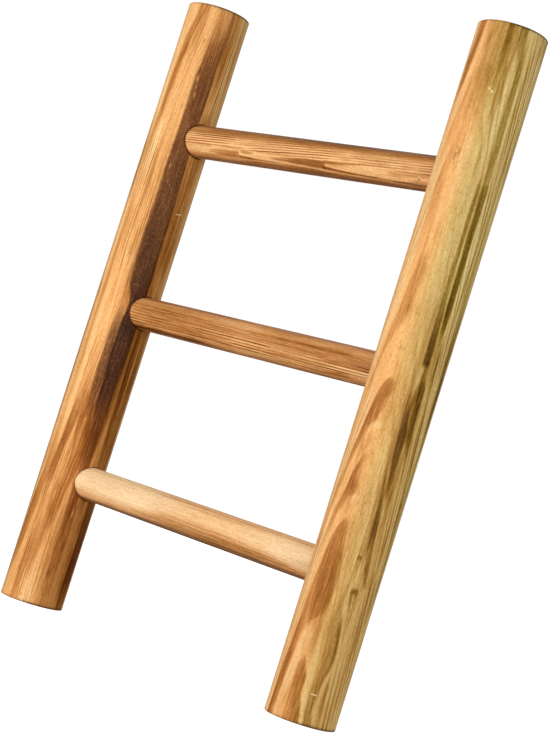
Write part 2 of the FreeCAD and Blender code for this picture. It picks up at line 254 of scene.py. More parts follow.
        ("red", 4, 4, [(72, 75, 5, 0.0), (60, 75, 7, -0.33), (49, 75, 5, 0.0)]),
        ("dark", 5, 5, [(204, 120, 5, 0.0), (190, 120, 8, 0.13), (176, 120, 5, 0.0)]),
        ("dark", 4, 4, [(281, 45, 4, 0.0), (270, 45, 7, -0.13), (260, 45, 4, 0.0)]),
        ("red", 4, 4, [(151, 50, 4, 0.0), (140, 50, 7, 0.3), (130, 50, 4, 0.0)]),
        ("lift", 4, 4, [(142, 54, 6, 0.0), (130, 55, 8, 0.16), (112, 55, 9, 0.18), (100, 55, 8, 0.0)]),
        ("red", 1.4, 1.8, [(180, 30.5, 2.4, 0.0), (160, 31, 3, 0.3), (140, 31.5, 3.4, 0.36), (120, 32, 3, 0.3), (98, 32, 3, 0.2), (78, 31, 2.4, 0.0)]),
        ("red", 1.4, 1.8, [(64, 33, 2.2, 0.0), (46, 32, 3, 0.2), (26, 31, 3, 0.2), (6, 30, 2.4, 0.0)]),
        ("red", 1.4, 1.8, [(72, 45, 2.2, 0.0), (52, 45.5, 3, 0.14), (30, 45, 3, 0.14), (10, 44, 2.4, 0.06), (-2, 44, 2, 0.0)]),
        # the dark band: the stain, then the char
        ("red", 5, 5, [(492, 54, 12, 0.06), (478, 54, 12, 0.06), (464, 54, 10, 0.0)]),
        ("red", 6, 5, [(492, 65, 32, 0.22), (480, 64, 33, 0.28), (468, 63, 34, 0.42), (452, 62.5, 35, 0.50), (440, 60.8, 34, 0.44), (400, 60.1, 34.6, 0.38), (340, 60.1, 37.6, 0.30), (280, 61, 39.6, 0.30), (262, 62.3, 37, 0.30), (250, 63, 36, 0.42), (240, 64, 33, 0.30), (215, 65, 31, 0.26), (192, 65.5, 30, 0.46), (176, 66, 30, 0.85), (162, 66, 30, 1.05), (148, 66, 28, 1.20), (134, 66, 26, 1.30), (118, 66, 22, 1.25), (104, 66, 18, 1.15), (90, 67, 16, 1.12), (72, 68.5, 18, 1.08), (52, 68.5, 18, 0.92), (34, 67.5, 17, 0.76), (18, 67.5, 17, 0.48), (-2, 67.5, 17, 0.32)]),
        ("dark", 5, 4, [(486, 65, 24, 0.0), (472, 63.5, 28, 0.06), (460, 62.5, 30, 0.17), (446, 61.5, 31, 0.28), (430, 59.4, 34.4, 0.41), (394, 60, 33.2, 0.47), (370, 59.1, 35, 0.54), (340, 59.3, 36, 0.57), (312, 59.8, 37.6, 0.65), (303, 59.4, 39, 0.68), (295, 60.0, 38.4, 0.71), (281, 61.2, 37.8, 0.75), (270, 61.6, 37.6, 0.79), (262, 62.2, 36.4, 0.84), (256, 63.7, 33.4, 0.88), (250, 66, 29, 0.94), (244, 66.7, 27.6, 0.98), (238, 66.5, 28, 1.02), (232, 65.5, 30, 1.06), (212, 65.5, 30, 0.94), (192, 65, 28, 0.92), (178, 65, 26, 0.74), (166, 65, 25, 0.54), (152, 66, 22, 0.30), (138, 67, 18, 0.16), (120, 68, 14, 0.08), (100, 69, 10, 0.0)]),
        ("dark", 2.4, 2.4, [(492, 75.5, 6, 0.20), (470, 75.5, 6, 0.18), (450, 75, 5, 0.14), (410, 74.5, 5, 0.12), (370, 75, 4, 0.06), (330, 76, 4, 0.06), (290, 77.5, 5, 0.08), (255, 78, 5, 0.0)]),
        # lines on the inner face
        ("red", 7, 7, [(492, 86, 14, 0.42), (476, 86.5, 15, 0.46), (458, 86, 15, 0.58), (440, 85, 13, 0.50), (424, 84, 11, 0.30), (408, 85, 13, 0.44), (388, 86, 14, 0.50), (366, 87, 16, 0.54), (340, 87, 17, 0.78), (312, 86, 18, 0.96), (286, 86, 17, 0.84), (262, 85.5, 15, 0.78), (238, 85, 14, 0.86)]),
        ("red", 3, 3, [(245, 86, 13, 0.80), (222, 84.8, 11, 0.94), (200, 84.8, 11.4, 0.98), (178, 84.5, 12, 0.88), (160, 84.5, 11, 0.68), (140, 84.5, 10, 0.46), (120, 84.5, 10, 0.40), (102, 84.5, 12, 0.40)]),
        ("dark", 4, 4, [(245, 86, 13, 0.02), (225, 86, 13, 0.06), (200, 86, 13, 0.10), (180, 86, 12, 0.08), (160, 86, 12, 0.02), (150, 86, 12, 0.0)]),
        ("red", 6, 6, [(104, 84, 16, 0.42), (90, 84, 16, 0.54), (60, 84, 17, 0.58), (30, 84, 17, 0.52), (10, 83, 16, 0.38), (-2, 83, 16, 0.32)]),
        ("red", 7, 7, [(440, 97, 6, 0.0), (420, 97, 8, 0.18), (400, 97, 10, 0.28), (376, 97, 13, 0.50), (350, 98, 14, 0.46), (320, 98, 14, 0.28), (290, 99, 15, 0.38), (266, 98, 13, 0.24), (240, 96, 12, 0.50)]),
        ("red", 3, 3.4, [(246, 95, 11, 0.76), (230, 94.5, 11, 1.10), (210, 94.5, 11, 1.40), (188, 94.5, 11, 1.56), (168, 95, 11, 1.46), (150, 95, 11, 1.28), (132, 95, 10, 1.12), (118, 94.6, 9.4, 0.82), (100, 97, 12, 0.40), (92, 97, 12, 0.0)]),
        ("red", 8, 5, [(104, 99, 12, 0.30), (84, 99, 12, 0.56), (68, 99, 13, 0.70), (40, 98.5, 13, 0.74), (20, 98.5, 13, 0.74), (5, 98, 13, 0.58), (-2, 98, 13, 0.54)]),
        ("red", 6, 7, [(492, 111, 8, 0.20), (465, 111, 9, 0.24), (440, 111, 9, 0.14), (420, 109, 9, 0.04), (395, 108, 10, 0.10), (372, 106, 13, 0.40), (345, 108, 12, 0.16), (315, 107, 14, 0.36), (285, 106, 15, 0.66), (262, 108, 14, 0.28), (244, 108, 15, 0.50), (228, 110, 18, 0.72), (205, 111, 20, 0.96), (180, 112, 20, 1.00), (155, 111, 20, 0.92), (130, 110, 20, 0.92), (112, 110, 20, 0.70), (98, 110, 20, 0.34), (86, 110, 22, 0.74), (72, 111, 22, 1.42), (50, 111.5, 22, 1.72), (28, 110.5, 24, 1.72), (14, 110, 23, 1.34), (4, 110, 22, 1.0), (-2, 110, 22, 0.9)]),
        ("red", 3, 3, [(492, 100, 4, 0.20), (470, 99, 4.4, 0.24), (450, 97, 4, 0.2), (430, 95, 3, 0.0)]),
        ("red", 3, 3, [(492, 108, 4, 0.14), (470, 107, 4.4, 0.18), (445, 106.5, 4, 0.14), (425, 106, 3, 0.0)]),
        ("red", 1.6, 1.6, [(232, 103, 2.4, 0.0), (210, 103.5, 3, 0.2), (180, 104, 3, 0.24), (150, 104.5, 3, 0.2), (120, 105, 2.4, 0.0)]),
        # pale streaks
        ("light", 4, 4, [(492, 3, 8, 0.25), (476, -2, 10, 0.24), (455, -14, 14, 0.60), (430, -18, 16, 0.52), (405, -17, 14, 0.34), (388, 4, 10, 0.35), (370, 4, 12, 0.62), (350, 3, 12, 0.26), (330, 6, 12, 0.06), (300, 6, 10, 0.0), (270, 8, 10, 0.0), (245, 5, 12, 0.30), (225, 4, 13, 0.40), (190, 4, 12, 0.40), (165, 3, 12, 0.42), (145, 2, 10, 0.35), (132, 1, 8, 0.10), (120, 1, 6, 0.0)]),
        ("light", 5, 5, [(345, -14, 8, 0.0), (325, -14, 9, 0.30), (300, -15, 9, 0.36), (275, -15, 8, 0.20), (255, -14, 7, 0.0)]),
        ("light", 4, 4, [(420, 14, 8, 0.1), (400, 13, 9, 0.16), (370, 12, 8, 0.1), (340, 14, 6, 0.1), (300, 24, 6, 0.14), (270, 24, 8, 0.12), (230, 24, 9, 0.14), (195, 24, 8, 0.06), (180, 24, 7, 0.0)]),
        ("light", 3, 3, [(492, 102, 7, 0.42), (470, 102.5, 9, 0.52), (448, 102.5, 9, 0.42), (425, 103.5, 11, 0.48), (405, 104, 11, 0.42), (385, 104, 10, 0.34), (366, 104, 8, 0.2), (350, 104, 6, 0.0)]),
        ("light", 5, 6, [(44, 37, 11, 0.0), (30, 36, 13, 0.30), (12, 34, 18, 0.52), (-2, 33, 22, 0.56)]),
        ("lift", 1.6, 1.8, [(178, 41, 3, 0.0), (158, 42, 3.4, 0.34), (140, 41.5, 4.2, 0.46), (118, 41, 4.6, 0.42), (100, 39.5, 4, 0.28), (86, 38, 3, 0.0)]),
        ("lift", 1.8, 2.2, [(164, 28.5, 2.5, 0.0), (144, 27.5, 4, 0.22), (130, 27, 4.4, 0.10), (118, 26.5, 5, 0.46), (94, 24, 6, 0.55), (74, 21, 5, 0.30), (56, 20, 4, 0.0)]),
        ("lift", 2.2, 2.6, [(106, 6, 3, 0.0), (90, 4.5, 5, 0.36), (66, 3, 6, 0.30), (44, 1, 7, 0.58), (22, -2, 8, 0.62), (-2, -5, 10, 0.62)]),
        ("lift", 1.6, 1.6, [(100, 55, 3, 0.0), (90, 55, 5, 0.3), (78, 55, 4, 0.24), (64, 54, 3, 0.0)]),
        ("lift", 2.4, 2.4, [(226, 82.5, 3, 0.0), (205, 83, 4, 0.14), (180, 83.5, 5, 0.14), (150, 84, 6, 0.12), (126, 84, 6, 0.14), (104, 84, 4, 0.0)]),
        ("lift", 4, 4, [(492, 65.5, 6, 0.4), (476, 65.5, 6, 0.34), (464, 65, 5, 0.0)]),
        ("lift", 1.8, 1.8, [(228, 101.5, 3, 0.1), (215, 102, 4.5, 0.36), (195, 102, 4.5, 0.34), (172, 102.5, 3.4, 0.26), (150, 102, 2.6, 0.1), (130, 102, 2, 0.0)]),
        # back and outer side, out of the first view
        ("red", 4, 8, [(492, 152, 12, 0.5), (420, 150, 14, 0.62), (330, 148, 12, 0.5), (240, 151, 14, 0.62), (140, 154, 15, 0.6), (60, 150, 14, 0.7), (-2, 148, 12, 0.6)]),
        ("dark", 5, 8, [(430, 176, 5, 0.0), (380, 175, 12, 0.3), (320, 174, 17, 0.45), (250, 175, 18, 0.5), (180, 177, 15, 0.4), (110, 178, 9, 0.2), (60, 178, 6, 0.0)]),
        ("red", 6, 8, [(492, 178, 14, 0.3), (420, 176, 20, 0.5), (300, 175, 26, 0.6), (160, 177, 22, 0.7), (60, 178, 16, 0.6), (-2, 178, 12, 0.4)]),
        ("red", 3, 6, [(492, 206, 8, 0.36), (380, 203, 9, 0.5), (270, 204, 8, 0.4), (150, 208, 10, 0.5), (60, 210, 9, 0.36), (-2, 211, 8, 0.3)]),
        ("red", 3, 5, [(492, 232, 6, 0.3), (400, 229, 7, 0.42), (300, 230, 6, 0.3), (180, 234, 8, 0.44), (90, 235, 8, 0.4), (-2, 236, 6, 0.3)]),
        ("red", 3, 6, [(492, 262, 9, 0.44), (400, 258, 8, 0.36), (290, 259, 10, 0.5), (170, 264, 9, 0.4), (70, 263, 10, 0.46), (-2, 262, 9, 0.3)]),
        ("dark", 4, 6, [(300, 284, 4, 0.0), (240, 283, 8, 0.2), (170, 285, 10, 0.3), (100, 287, 8, 0.2), (40, 288, 5, 0.0)]),
        ("red", 4, 7, [(492, 290, 8, 0.3), (390, 286, 9, 0.4), (280, 284, 14, 0.56), (170, 286, 16, 0.66), (80, 288, 13, 0.55), (-2, 290, 10, 0.4)]),
        ("light", 3, 4, [(492, 246, 8, 0.3), (330, 244, 9, 0.4), (160, 249, 8, 0.34), (-2, 250, 8, 0.3)]),
        ("light", 3, 4, [(492, 306, 10, 0.3), (330, 304, 9, 0.36), (160, 309, 8, 0.3), (-2, 312, 8, 0.3)]),
    ])
    spots(ink, a0, s, [
        ("lift", 430, 47.5, 3.4, 1.9, 0.9), ("lift", 417, 51.5, 3.4, 1.9, 0.9), ("lift", 413, 45, 2.0, 1.4, 0.5),
        ("lift", 423, 49.5, 1.8, 1.6, 0.6), ("lift", 441, 49, 2.0, 1.6, 0.5), ("lift", 436, 58, 1.8, 1.6, 0.35),
        ("lift", 358, 48, 2.6, 2.0, 0.7), ("lift", 392, 55, 1.8, 1.7, 0.4), ("lift", 346, 52, 1.8, 1.7, 0.35),
        ("lift", 200, 43, 2.2, 1.4, 0.6), ("lift", 212, 42, 1.8, 1.2, 0.55), ("lift", 149, 42.5, 2.0, 1.3, 0.6),
        ("lift", 214, 70, 1.6, 1.6, 0.3), ("lift", 76, 72, 3.4, 2.0, 0.8), ("lift", 221, 65, 1.4, 1.4, 0.25),
        ("dark", 76, 68.5, 4.2, 1.2, 0.25), ("dark", 460, 37, 2.4, 1.4, 0.22), ("dark", 406, 36, 1.6, 1.4, 0.16),
        ("dark", 38, 75, 2.2, 1.6, 0.28), ("dark", 27, 62.5, 3.0, 1.6, 0.30), ("dark", 25, 5, 1.6, 1.8, 0.22),
        ("dark", 300, 34, 1.8, 1.2, 0.16), ("dark", 285, -4, 1.8, 1.4, 0.16), ("dark", 140, 118, 2.0, 1.4, 0.2),
        ("dark", 316, 36.5, 1.4, 1.0, 0.14), ("dark", 33, 70, 1.6, 1.4, 0.2), ("dark", 58, 66, 2.0, 1.2, 0.2),
    ])
    ink["olive"] += 0.32 * step(72, 88, a) * step(150, 118, a) * (0.4 + 0.6 * step(80, 150, s)) * (a < 170) * (a > 0)
    flow = through([-2, 40, 100, 160, 240, 300, 380, 440, 492], [-11, -9, -4, 1, 0, -1, -2, 5, 15], s)
    flow = flow * step(78, 18, wrap(a0 - 10))
    ring = (a - flow) / 4.8 + 1.0 * far(a0 + 37, s * 0.7) + 0.4 * near(a0 + 11, s * 0.6)
    lines = (0.24 + 0.22 * near(a0 + 90, s * 0.5)) * (1 - 0.75 * step(66, 80, a) * (a < 150) * (1 - 0.8 * step(82, 90, a) * step(250, 400, s)))
    lines = lines + 0.24 * step(32, 24, np.abs(wrap(a0 - 12))) * step(235, 265, s) * step(395, 365, s)
    lines = lines + 0.22 * step(82, 90, a) * step(124, 114, a) * step(380, 410, s)
    lines = lines * (1 - 0.35 * step(42, 50, a) * step(122, 114, a) * step(120, 95, s))
    return settle(ink), ring, lines, flow


LIFT = ([0, 5, 10, 15, 20, 25, 30, 35, 40, 50, 60, 80, 100, 125, 150, 180],
        [0, 1.2, 4.5, 13, 29, 50, 74, 100, 126, 180, 240, 372, 500, 640, 730, 760])


def right_rail_figure(a, s, r):
    far = Wander(21, 10, 60.0)
    near = Wander(22, 36, 30.0)
    wob = Wander(23, 110, 9.0)
    a0 = a
    a = a + 1.0 * far(a0, s) + 0.6 * near(a0, s) + 0.25 * wob(a0, s)
    d = wrap(a - 17.5)
    # the height at which the growth ring through each point reaches the crown of its arch
    q = s
    for _ in range(8):
        q = s + through(*LIFT, np.abs(d) * through([60, 139, 183, 237, 320], [1.0, 0.94, 0.83, 0.76, 0.73], q))
    q = q + 1.6 * near(a0 + 50, s)
    ink = blank(a)

    def band(qs, ks, face):
        return through(qs, ks, q) * face

    visible = step(-75, -60, d)
    flank = step(-6, -18, d)
    for qs, ks in (([470, 458, 450, 436], [0, 0.14, 0.12, 0.0]), ([415, 406, 398, 386], [0, 0.16, 0.14, 0.0])):
        ink["red"] += band(qs, ks, flank * visible)
    # the arches from the top down: each one's crisp left edge, its soft inner edge, its stain
    for soft, lo, hi, k in (
        ((3, 8), [(334, 6), (325, 3), (315, 1), (305, -1), (295, -3), (285, -5), (275, -8), (265, -12), (255, -16), (245, -19), (235, -22), (222, -25)],
         [(334, 9), (325, 14), (315, 18), (305, 18), (295, 17), (285, 15), (275, 9), (268, 3), (262, -2), (255, -8), (245, -13), (235, -17), (222, -20)],
         [(334, 0.06), (325, 0.20), (315, 0.36), (300, 0.44), (285, 0.42), (275, 0.36), (265, 0.34), (255, 0.32), (245, 0.34), (235, 0.34), (226, 0.2), (215, 0.0)]),
        ((2.4, 11), [(237.5, 17), (235.5, 13), (232, 8.2), (228, 4.6), (222, 1.4), (216, -0.8), (210, -2.8), (200, -6.5), (190, -11), (180, -15), (170, -18), (160, -20.5), (150, -23), (140, -25.5), (130, -28)],
         [(237.5, 19), (235, 25), (230, 26), (222, 21), (214, 18), (208, 15), (204, 11), (200, 6), (195, 3), (190, 0), (180, -6), (170, -11), (160, -14), (150, -16.5), (140, -19), (130, -22)],
         [(238, 0.2), (235, 0.62), (230, 0.82), (222, 0.96), (212, 1.04), (205, 0.88), (198, 0.58), (190, 0.44), (180, 0.40), (170, 0.40), (160, 0.38), (150, 0.28), (140, 0.14), (130, 0.0)]),
        ((2.4, 10), [(185, 15), (183, 12.5), (178, 8), (172, 4), (165, 1), (158, -2), (150, -5.5), (145, -8.5), (140, -11), (130, -14), (120, -17), (110, -20), (100, -22)],
         [(185, 16), (183, 18), (180, 18), (175, 16), (168, 17), (162, 19), (158, 18), (154, 14), (150, 10), (145, 4), (140, -2), (135, -4.5), (130, -6), (120, -10), (110, -14), (100, -16)],
         [(185, 0.15), (183, 0.38), (178, 0.54), (172, 0.66), (165, 0.68), (158, 0.70), (152, 0.56), (146, 0.42), (140, 0.36), (130, 0.28), (120, 0.16), (110, 0.10), (100, 0.0)]),
        ((2.6, 3), [(181, 9), (172, 4), (165, 1.6), (158, -1), (152, -2), (143, -5)], [(181, 11), (172, 10.5), (165, 10), (158, 9.5), (152, 7), (143, 2)],
         [(181, 0.0), (174, 0.42), (165, 0.56), (157, 0.48), (150, 0.30), (143, 0.0)]),
        ((2.6, 10), [(139, 16), (137, 12), (132, 6), (128, 3), (122, 0.4), (115, -1.4), (108, -3.5), (100, -5.6), (90, -7.6), (80, -9), (70, -10.6), (60, -14), (50, -16), (40, -18.4), (30, -20), (20, -21), (10, -22), (-2, -23)],
         [(139, 17), (137, 20), (130, 23), (120, 26.5), (110, 29), (100, 30.5), (90, 31), (80, 30), (76, 28), (72, 22), (69, 15), (65, 9), (60, 3), (55, 0), (50, -2), (40, -4.6), (30, -6.5), (20, -7.5), (10, -9.5), (-2, -11)],
         [(139.5, 0.3), (136, 0.58), (130, 0.68), (120, 0.72), (112, 0.68), (104, 0.58), (90, 0.54), (80, 0.52), (70, 0.56), (60, 0.56), (50, 0.58), (42, 0.76), (30, 0.84), (10, 0.88), (-2, 0.82)]),
        ((4, 9), [(126, 2), (112, -2), (100, -1), (90, 0), (80, 0), (74, 2), (66, 8)], [(126, 20), (112, 23), (100, 26), (90, 28), (80, 28), (74, 27), (66, 26), (56, 27)],
         [(126, 0.0), (112, 0.20), (100, 0.40), (90, 0.48), (82, 0.42), (76, 0.30), (68, 0.20), (62, 0.12), (54, 0.0)]),
        ((5, 2.4), [(45.5, 19), (42, 16.5), (38, 13.5), (34, 12.5), (25, 12), (10, 12), (-2, 12)],
         [(45.5, 20.5), (42, 22.5), (38, 25.5), (34, 28.5), (30, 30.5), (25, 30), (20, 30.5), (15, 33), (10, 36), (5, 38), (-2, 40.5)],
         [(46, 0.2), (42, 0.42), (34, 0.48), (20, 0.46), (10, 0.44), (-2, 0.42)]),
        ((5, 2.4), [(44, 20), (38, 19), (30, 19.5), (20, 20.5), (10, 22), (-2, 25)],
         [(44, 21), (42, 22.5), (38, 25.5), (34, 28.5), (30, 30.5), (25, 30), (20, 30.5), (15, 33), (10, 36), (5, 38), (-2, 40.5)],
         [(44, 0.1), (38, 0.38), (28, 0.54), (18, 0.50), (8, 0.46), (-2, 0.44)]),
    ):
        leaf(ink, a, s, "red", soft, lo, hi, k)
    for soft, lo, hi, k in (
        ((2.4, 4), [(207.5, 17), (205.5, 12), (204, 10)], [(207.5, 21), (205.5, 26), (204, 28)], [(207.5, 0.0), (206, 0.5), (203, 0.5), (201, 0.0)]),
        ((2.4, 4), [(155.5, 16), (153.5, 11), (152, 9)], [(155.5, 22), (153.5, 27), (151, 30)], [(155.5, 0.0), (154, 0.25), (152, 0.2), (150.5, 0.0)]),
    ):
        leaf(ink, a, s, "light", soft, lo, hi, k)
    # the long brown flame of the right face, and the wavy edge near the foot
    for name, soft, lo, hi, k in (
        ("dark", (2.4, 2.4), [(384, 58.5), (376, 58), (345, 58), (310, 57.5), (272, 58), (250, 58.5)], [(384, 61.5), (376, 63), (345, 64), (310, 64.5), (290, 66), (272, 68.5), (258, 70), (250, 70)],
         [(384, 0.0), (376, 0.30), (345, 0.32), (310, 0.28), (286, 0.31), (272, 0.42), (258, 0.44), (253, 0.38), (249.5, 0.0)]),
        ("red", (2.4, 2.4), [(300, 57.5), (272, 58), (250, 58.5)], [(300, 65), (272, 68.5), (258, 70), (250, 70)], [(300, 0.0), (284, 0.30), (268, 0.62), (254, 0.66), (249.5, 0.0)]),
        ("dark", (2.6, 2.6), [(254, 64), (245, 63.5), (240, 64), (235, 65), (225, 68), (215, 69), (205, 70), (195, 73), (188, 75)], [(254, 71), (245, 71), (240, 72.5), (235, 76), (225, 76.5), (215, 76.5), (205, 78), (195, 79.5), (188, 80)],
         [(254, 0.18), (245, 0.26), (240, 0.34), (235, 0.42), (225, 0.42), (215, 0.36), (205, 0.26), (195, 0.14), (186, 0.0)]),
        ("red", (2.6, 2.6), [(254, 64), (245, 63.5), (235, 65), (225, 68), (215, 69), (205, 70), (195, 73), (188, 75)], [(254, 71), (245, 71), (235, 76), (225, 76.5), (215, 76.5), (205, 78), (195, 79.5), (188, 80)],
         [(254, 0.30), (240, 0.50), (225, 0.66), (205, 0.60), (195, 0.44), (184, 0.0)]),
        ("dark", (2.6, 2.6), [(234, 52), (222, 52.5), (212, 53.4), (200, 54.8), (190, 56.4), (180, 58), (172, 60), (158, 64)], [(234, 56), (222, 60), (212, 64), (202, 67.6), (190, 67.4), (180, 67.4), (172, 68), (158, 70)],
         [(234, 0.0), (226, 0.08), (218, 0.20), (210, 0.28), (200, 0.29), (190, 0.27), (180, 0.18), (172, 0.12), (164, 0.04), (158, 0.0)]),
        ("red", (2.6, 2.6), [(234, 52), (222, 52.5), (212, 53.4), (200, 54.8), (190, 56.4), (180, 58), (172, 60), (158, 64)], [(234, 56), (222, 60), (212, 64), (202, 67.6), (190, 67.4), (180, 67.4), (172, 68), (158, 70)],
         [(234, 0.0), (226, 0.44), (212, 0.86), (200, 0.94), (190, 0.94), (180, 0.90), (172, 0.84), (164, 0.62), (156, 0.0)]),
        ("dark", (2.4, 2.4), [(180, 54.5), (170, 55), (160, 57), (150, 57), (140, 57.8), (130, 59), (120, 62), (110, 67), (100, 73), (95, 76)], [(180, 56.5), (170, 59), (160, 62), (150, 65), (140, 67.5), (130, 69.5), (120, 72), (110, 75.5), (100, 78), (95, 78.5)],
         [(180, 0.0), (170, 0.16), (160, 0.20), (150, 0.22), (140, 0.24), (130, 0.22), (120, 0.17), (110, 0.15), (100, 0.10), (95, 0.0)]),
        ("red", (2.4, 2.4), [(180, 54.5), (170, 55), (160, 57), (150, 57), (140, 57.8), (130, 59), (120, 62), (110, 67), (100, 73), (95, 76)], [(180, 56.5), (170, 59), (160, 62), (150, 65), (140, 67.5), (130, 69.5), (120, 72), (110, 75.5), (100, 78), (95, 78.5)],
         [(180, 0.0), (170, 0.42), (160, 0.56), (150, 0.68), (140, 0.82), (130, 0.72), (120, 0.50), (110, 0.44), (100, 0.32), (95, 0.0)]),
        ("red", (6, 2.4), [(94, 48), (80, 46), (60, 46), (40, 47), (25, 45), (10, 45), (-2, 48)], [(94, 50), (86, 52), (80, 54), (70, 58.5), (62, 62), (55, 63.5), (45, 63.5), (40, 62), (35, 59.5), (30, 57.5), (25, 56), (20, 55), (15, 55), (10, 55.5), (5, 58), (-2, 61.5)],
         [(94, 0.0), (84, 0.20), (74, 0.42), (62, 0.62), (50, 0.58), (40, 0.52), (28, 0.52), (18, 0.56), (8, 0.62), (-2, 0.60)]),
        ("dark", (5, 2.4), [(86, 49), (80, 50), (70, 54), (62, 57), (55, 58.5), (45, 58.5), (35, 55), (25, 52), (15, 51), (5, 54), (-2, 57)], [(86, 52), (80, 54), (70, 58.5), (62, 62), (55, 63.5), (45, 63.5), (40, 62), (35, 59.5), (30, 57.5), (25, 56), (20, 55), (15, 55), (10, 55.5), (5, 58), (-2, 61.5)],
         [(86, 0.0), (74, 0.13), (62, 0.25), (50, 0.24), (40, 0.18), (30, 0.10), (20, 0.08), (-2, 0.08)]),
        ("red", (3, 3), [(35, 62), (28, 60.5), (20, 60.5), (10, 62), (2, 64)], [(35, 68), (28, 70), (20, 70), (10, 70), (2, 70)], [(35, 0.0), (28, 0.26), (20, 0.30), (12, 0.26), (2, 0.08)]),
        ("dark", (2.4, 2.4), [(97, 57), (91, 57)], [(97, 67.5), (91, 67.5)], [(96.4, 0.0), (95.2, 0.22), (93.4, 0.22), (91.6, 0.0)]),
        ("dark", (2.4, 2.4), [(95, 56.5), (88, 58.5), (79, 62)], [(95, 60.5), (88, 62), (79, 64.5)], [(94, 0.06), (92, 0.20), (86, 0.16), (79, 0.0)]),
        ("dark", (2.4, 2.4), [(95, 64), (84, 64.5)], [(95, 67.5), (84, 67)], [(94, 0.06), (92, 0.24), (88, 0.16), (84, 0.0)]),
        ("red", (2.4, 2.4), [(97, 57), (91, 57)], [(97, 67.5), (91, 67.5)], [(96.4, 0.0), (95.2, 0.5), (93.4, 0.5), (91.6, 0.0)]),
        ("red", (2.4, 2.4), [(95, 56.5), (88, 58.5), (79, 62)], [(95, 60.5), (88, 62), (79, 64.5)], [(94, 0.2), (92, 0.6), (86, 0.5), (78, 0.0)]),
        ("dark", (2.4, 2.4), [(119, 51), (113, 51)], [(119, 57.5), (113, 57.5)], [(118.2, 0.0), (117, 0.30), (116, 0.30), (114.4, 0.0)]),
    ):
        leaf(ink, a, s, name, soft, lo, hi, k)
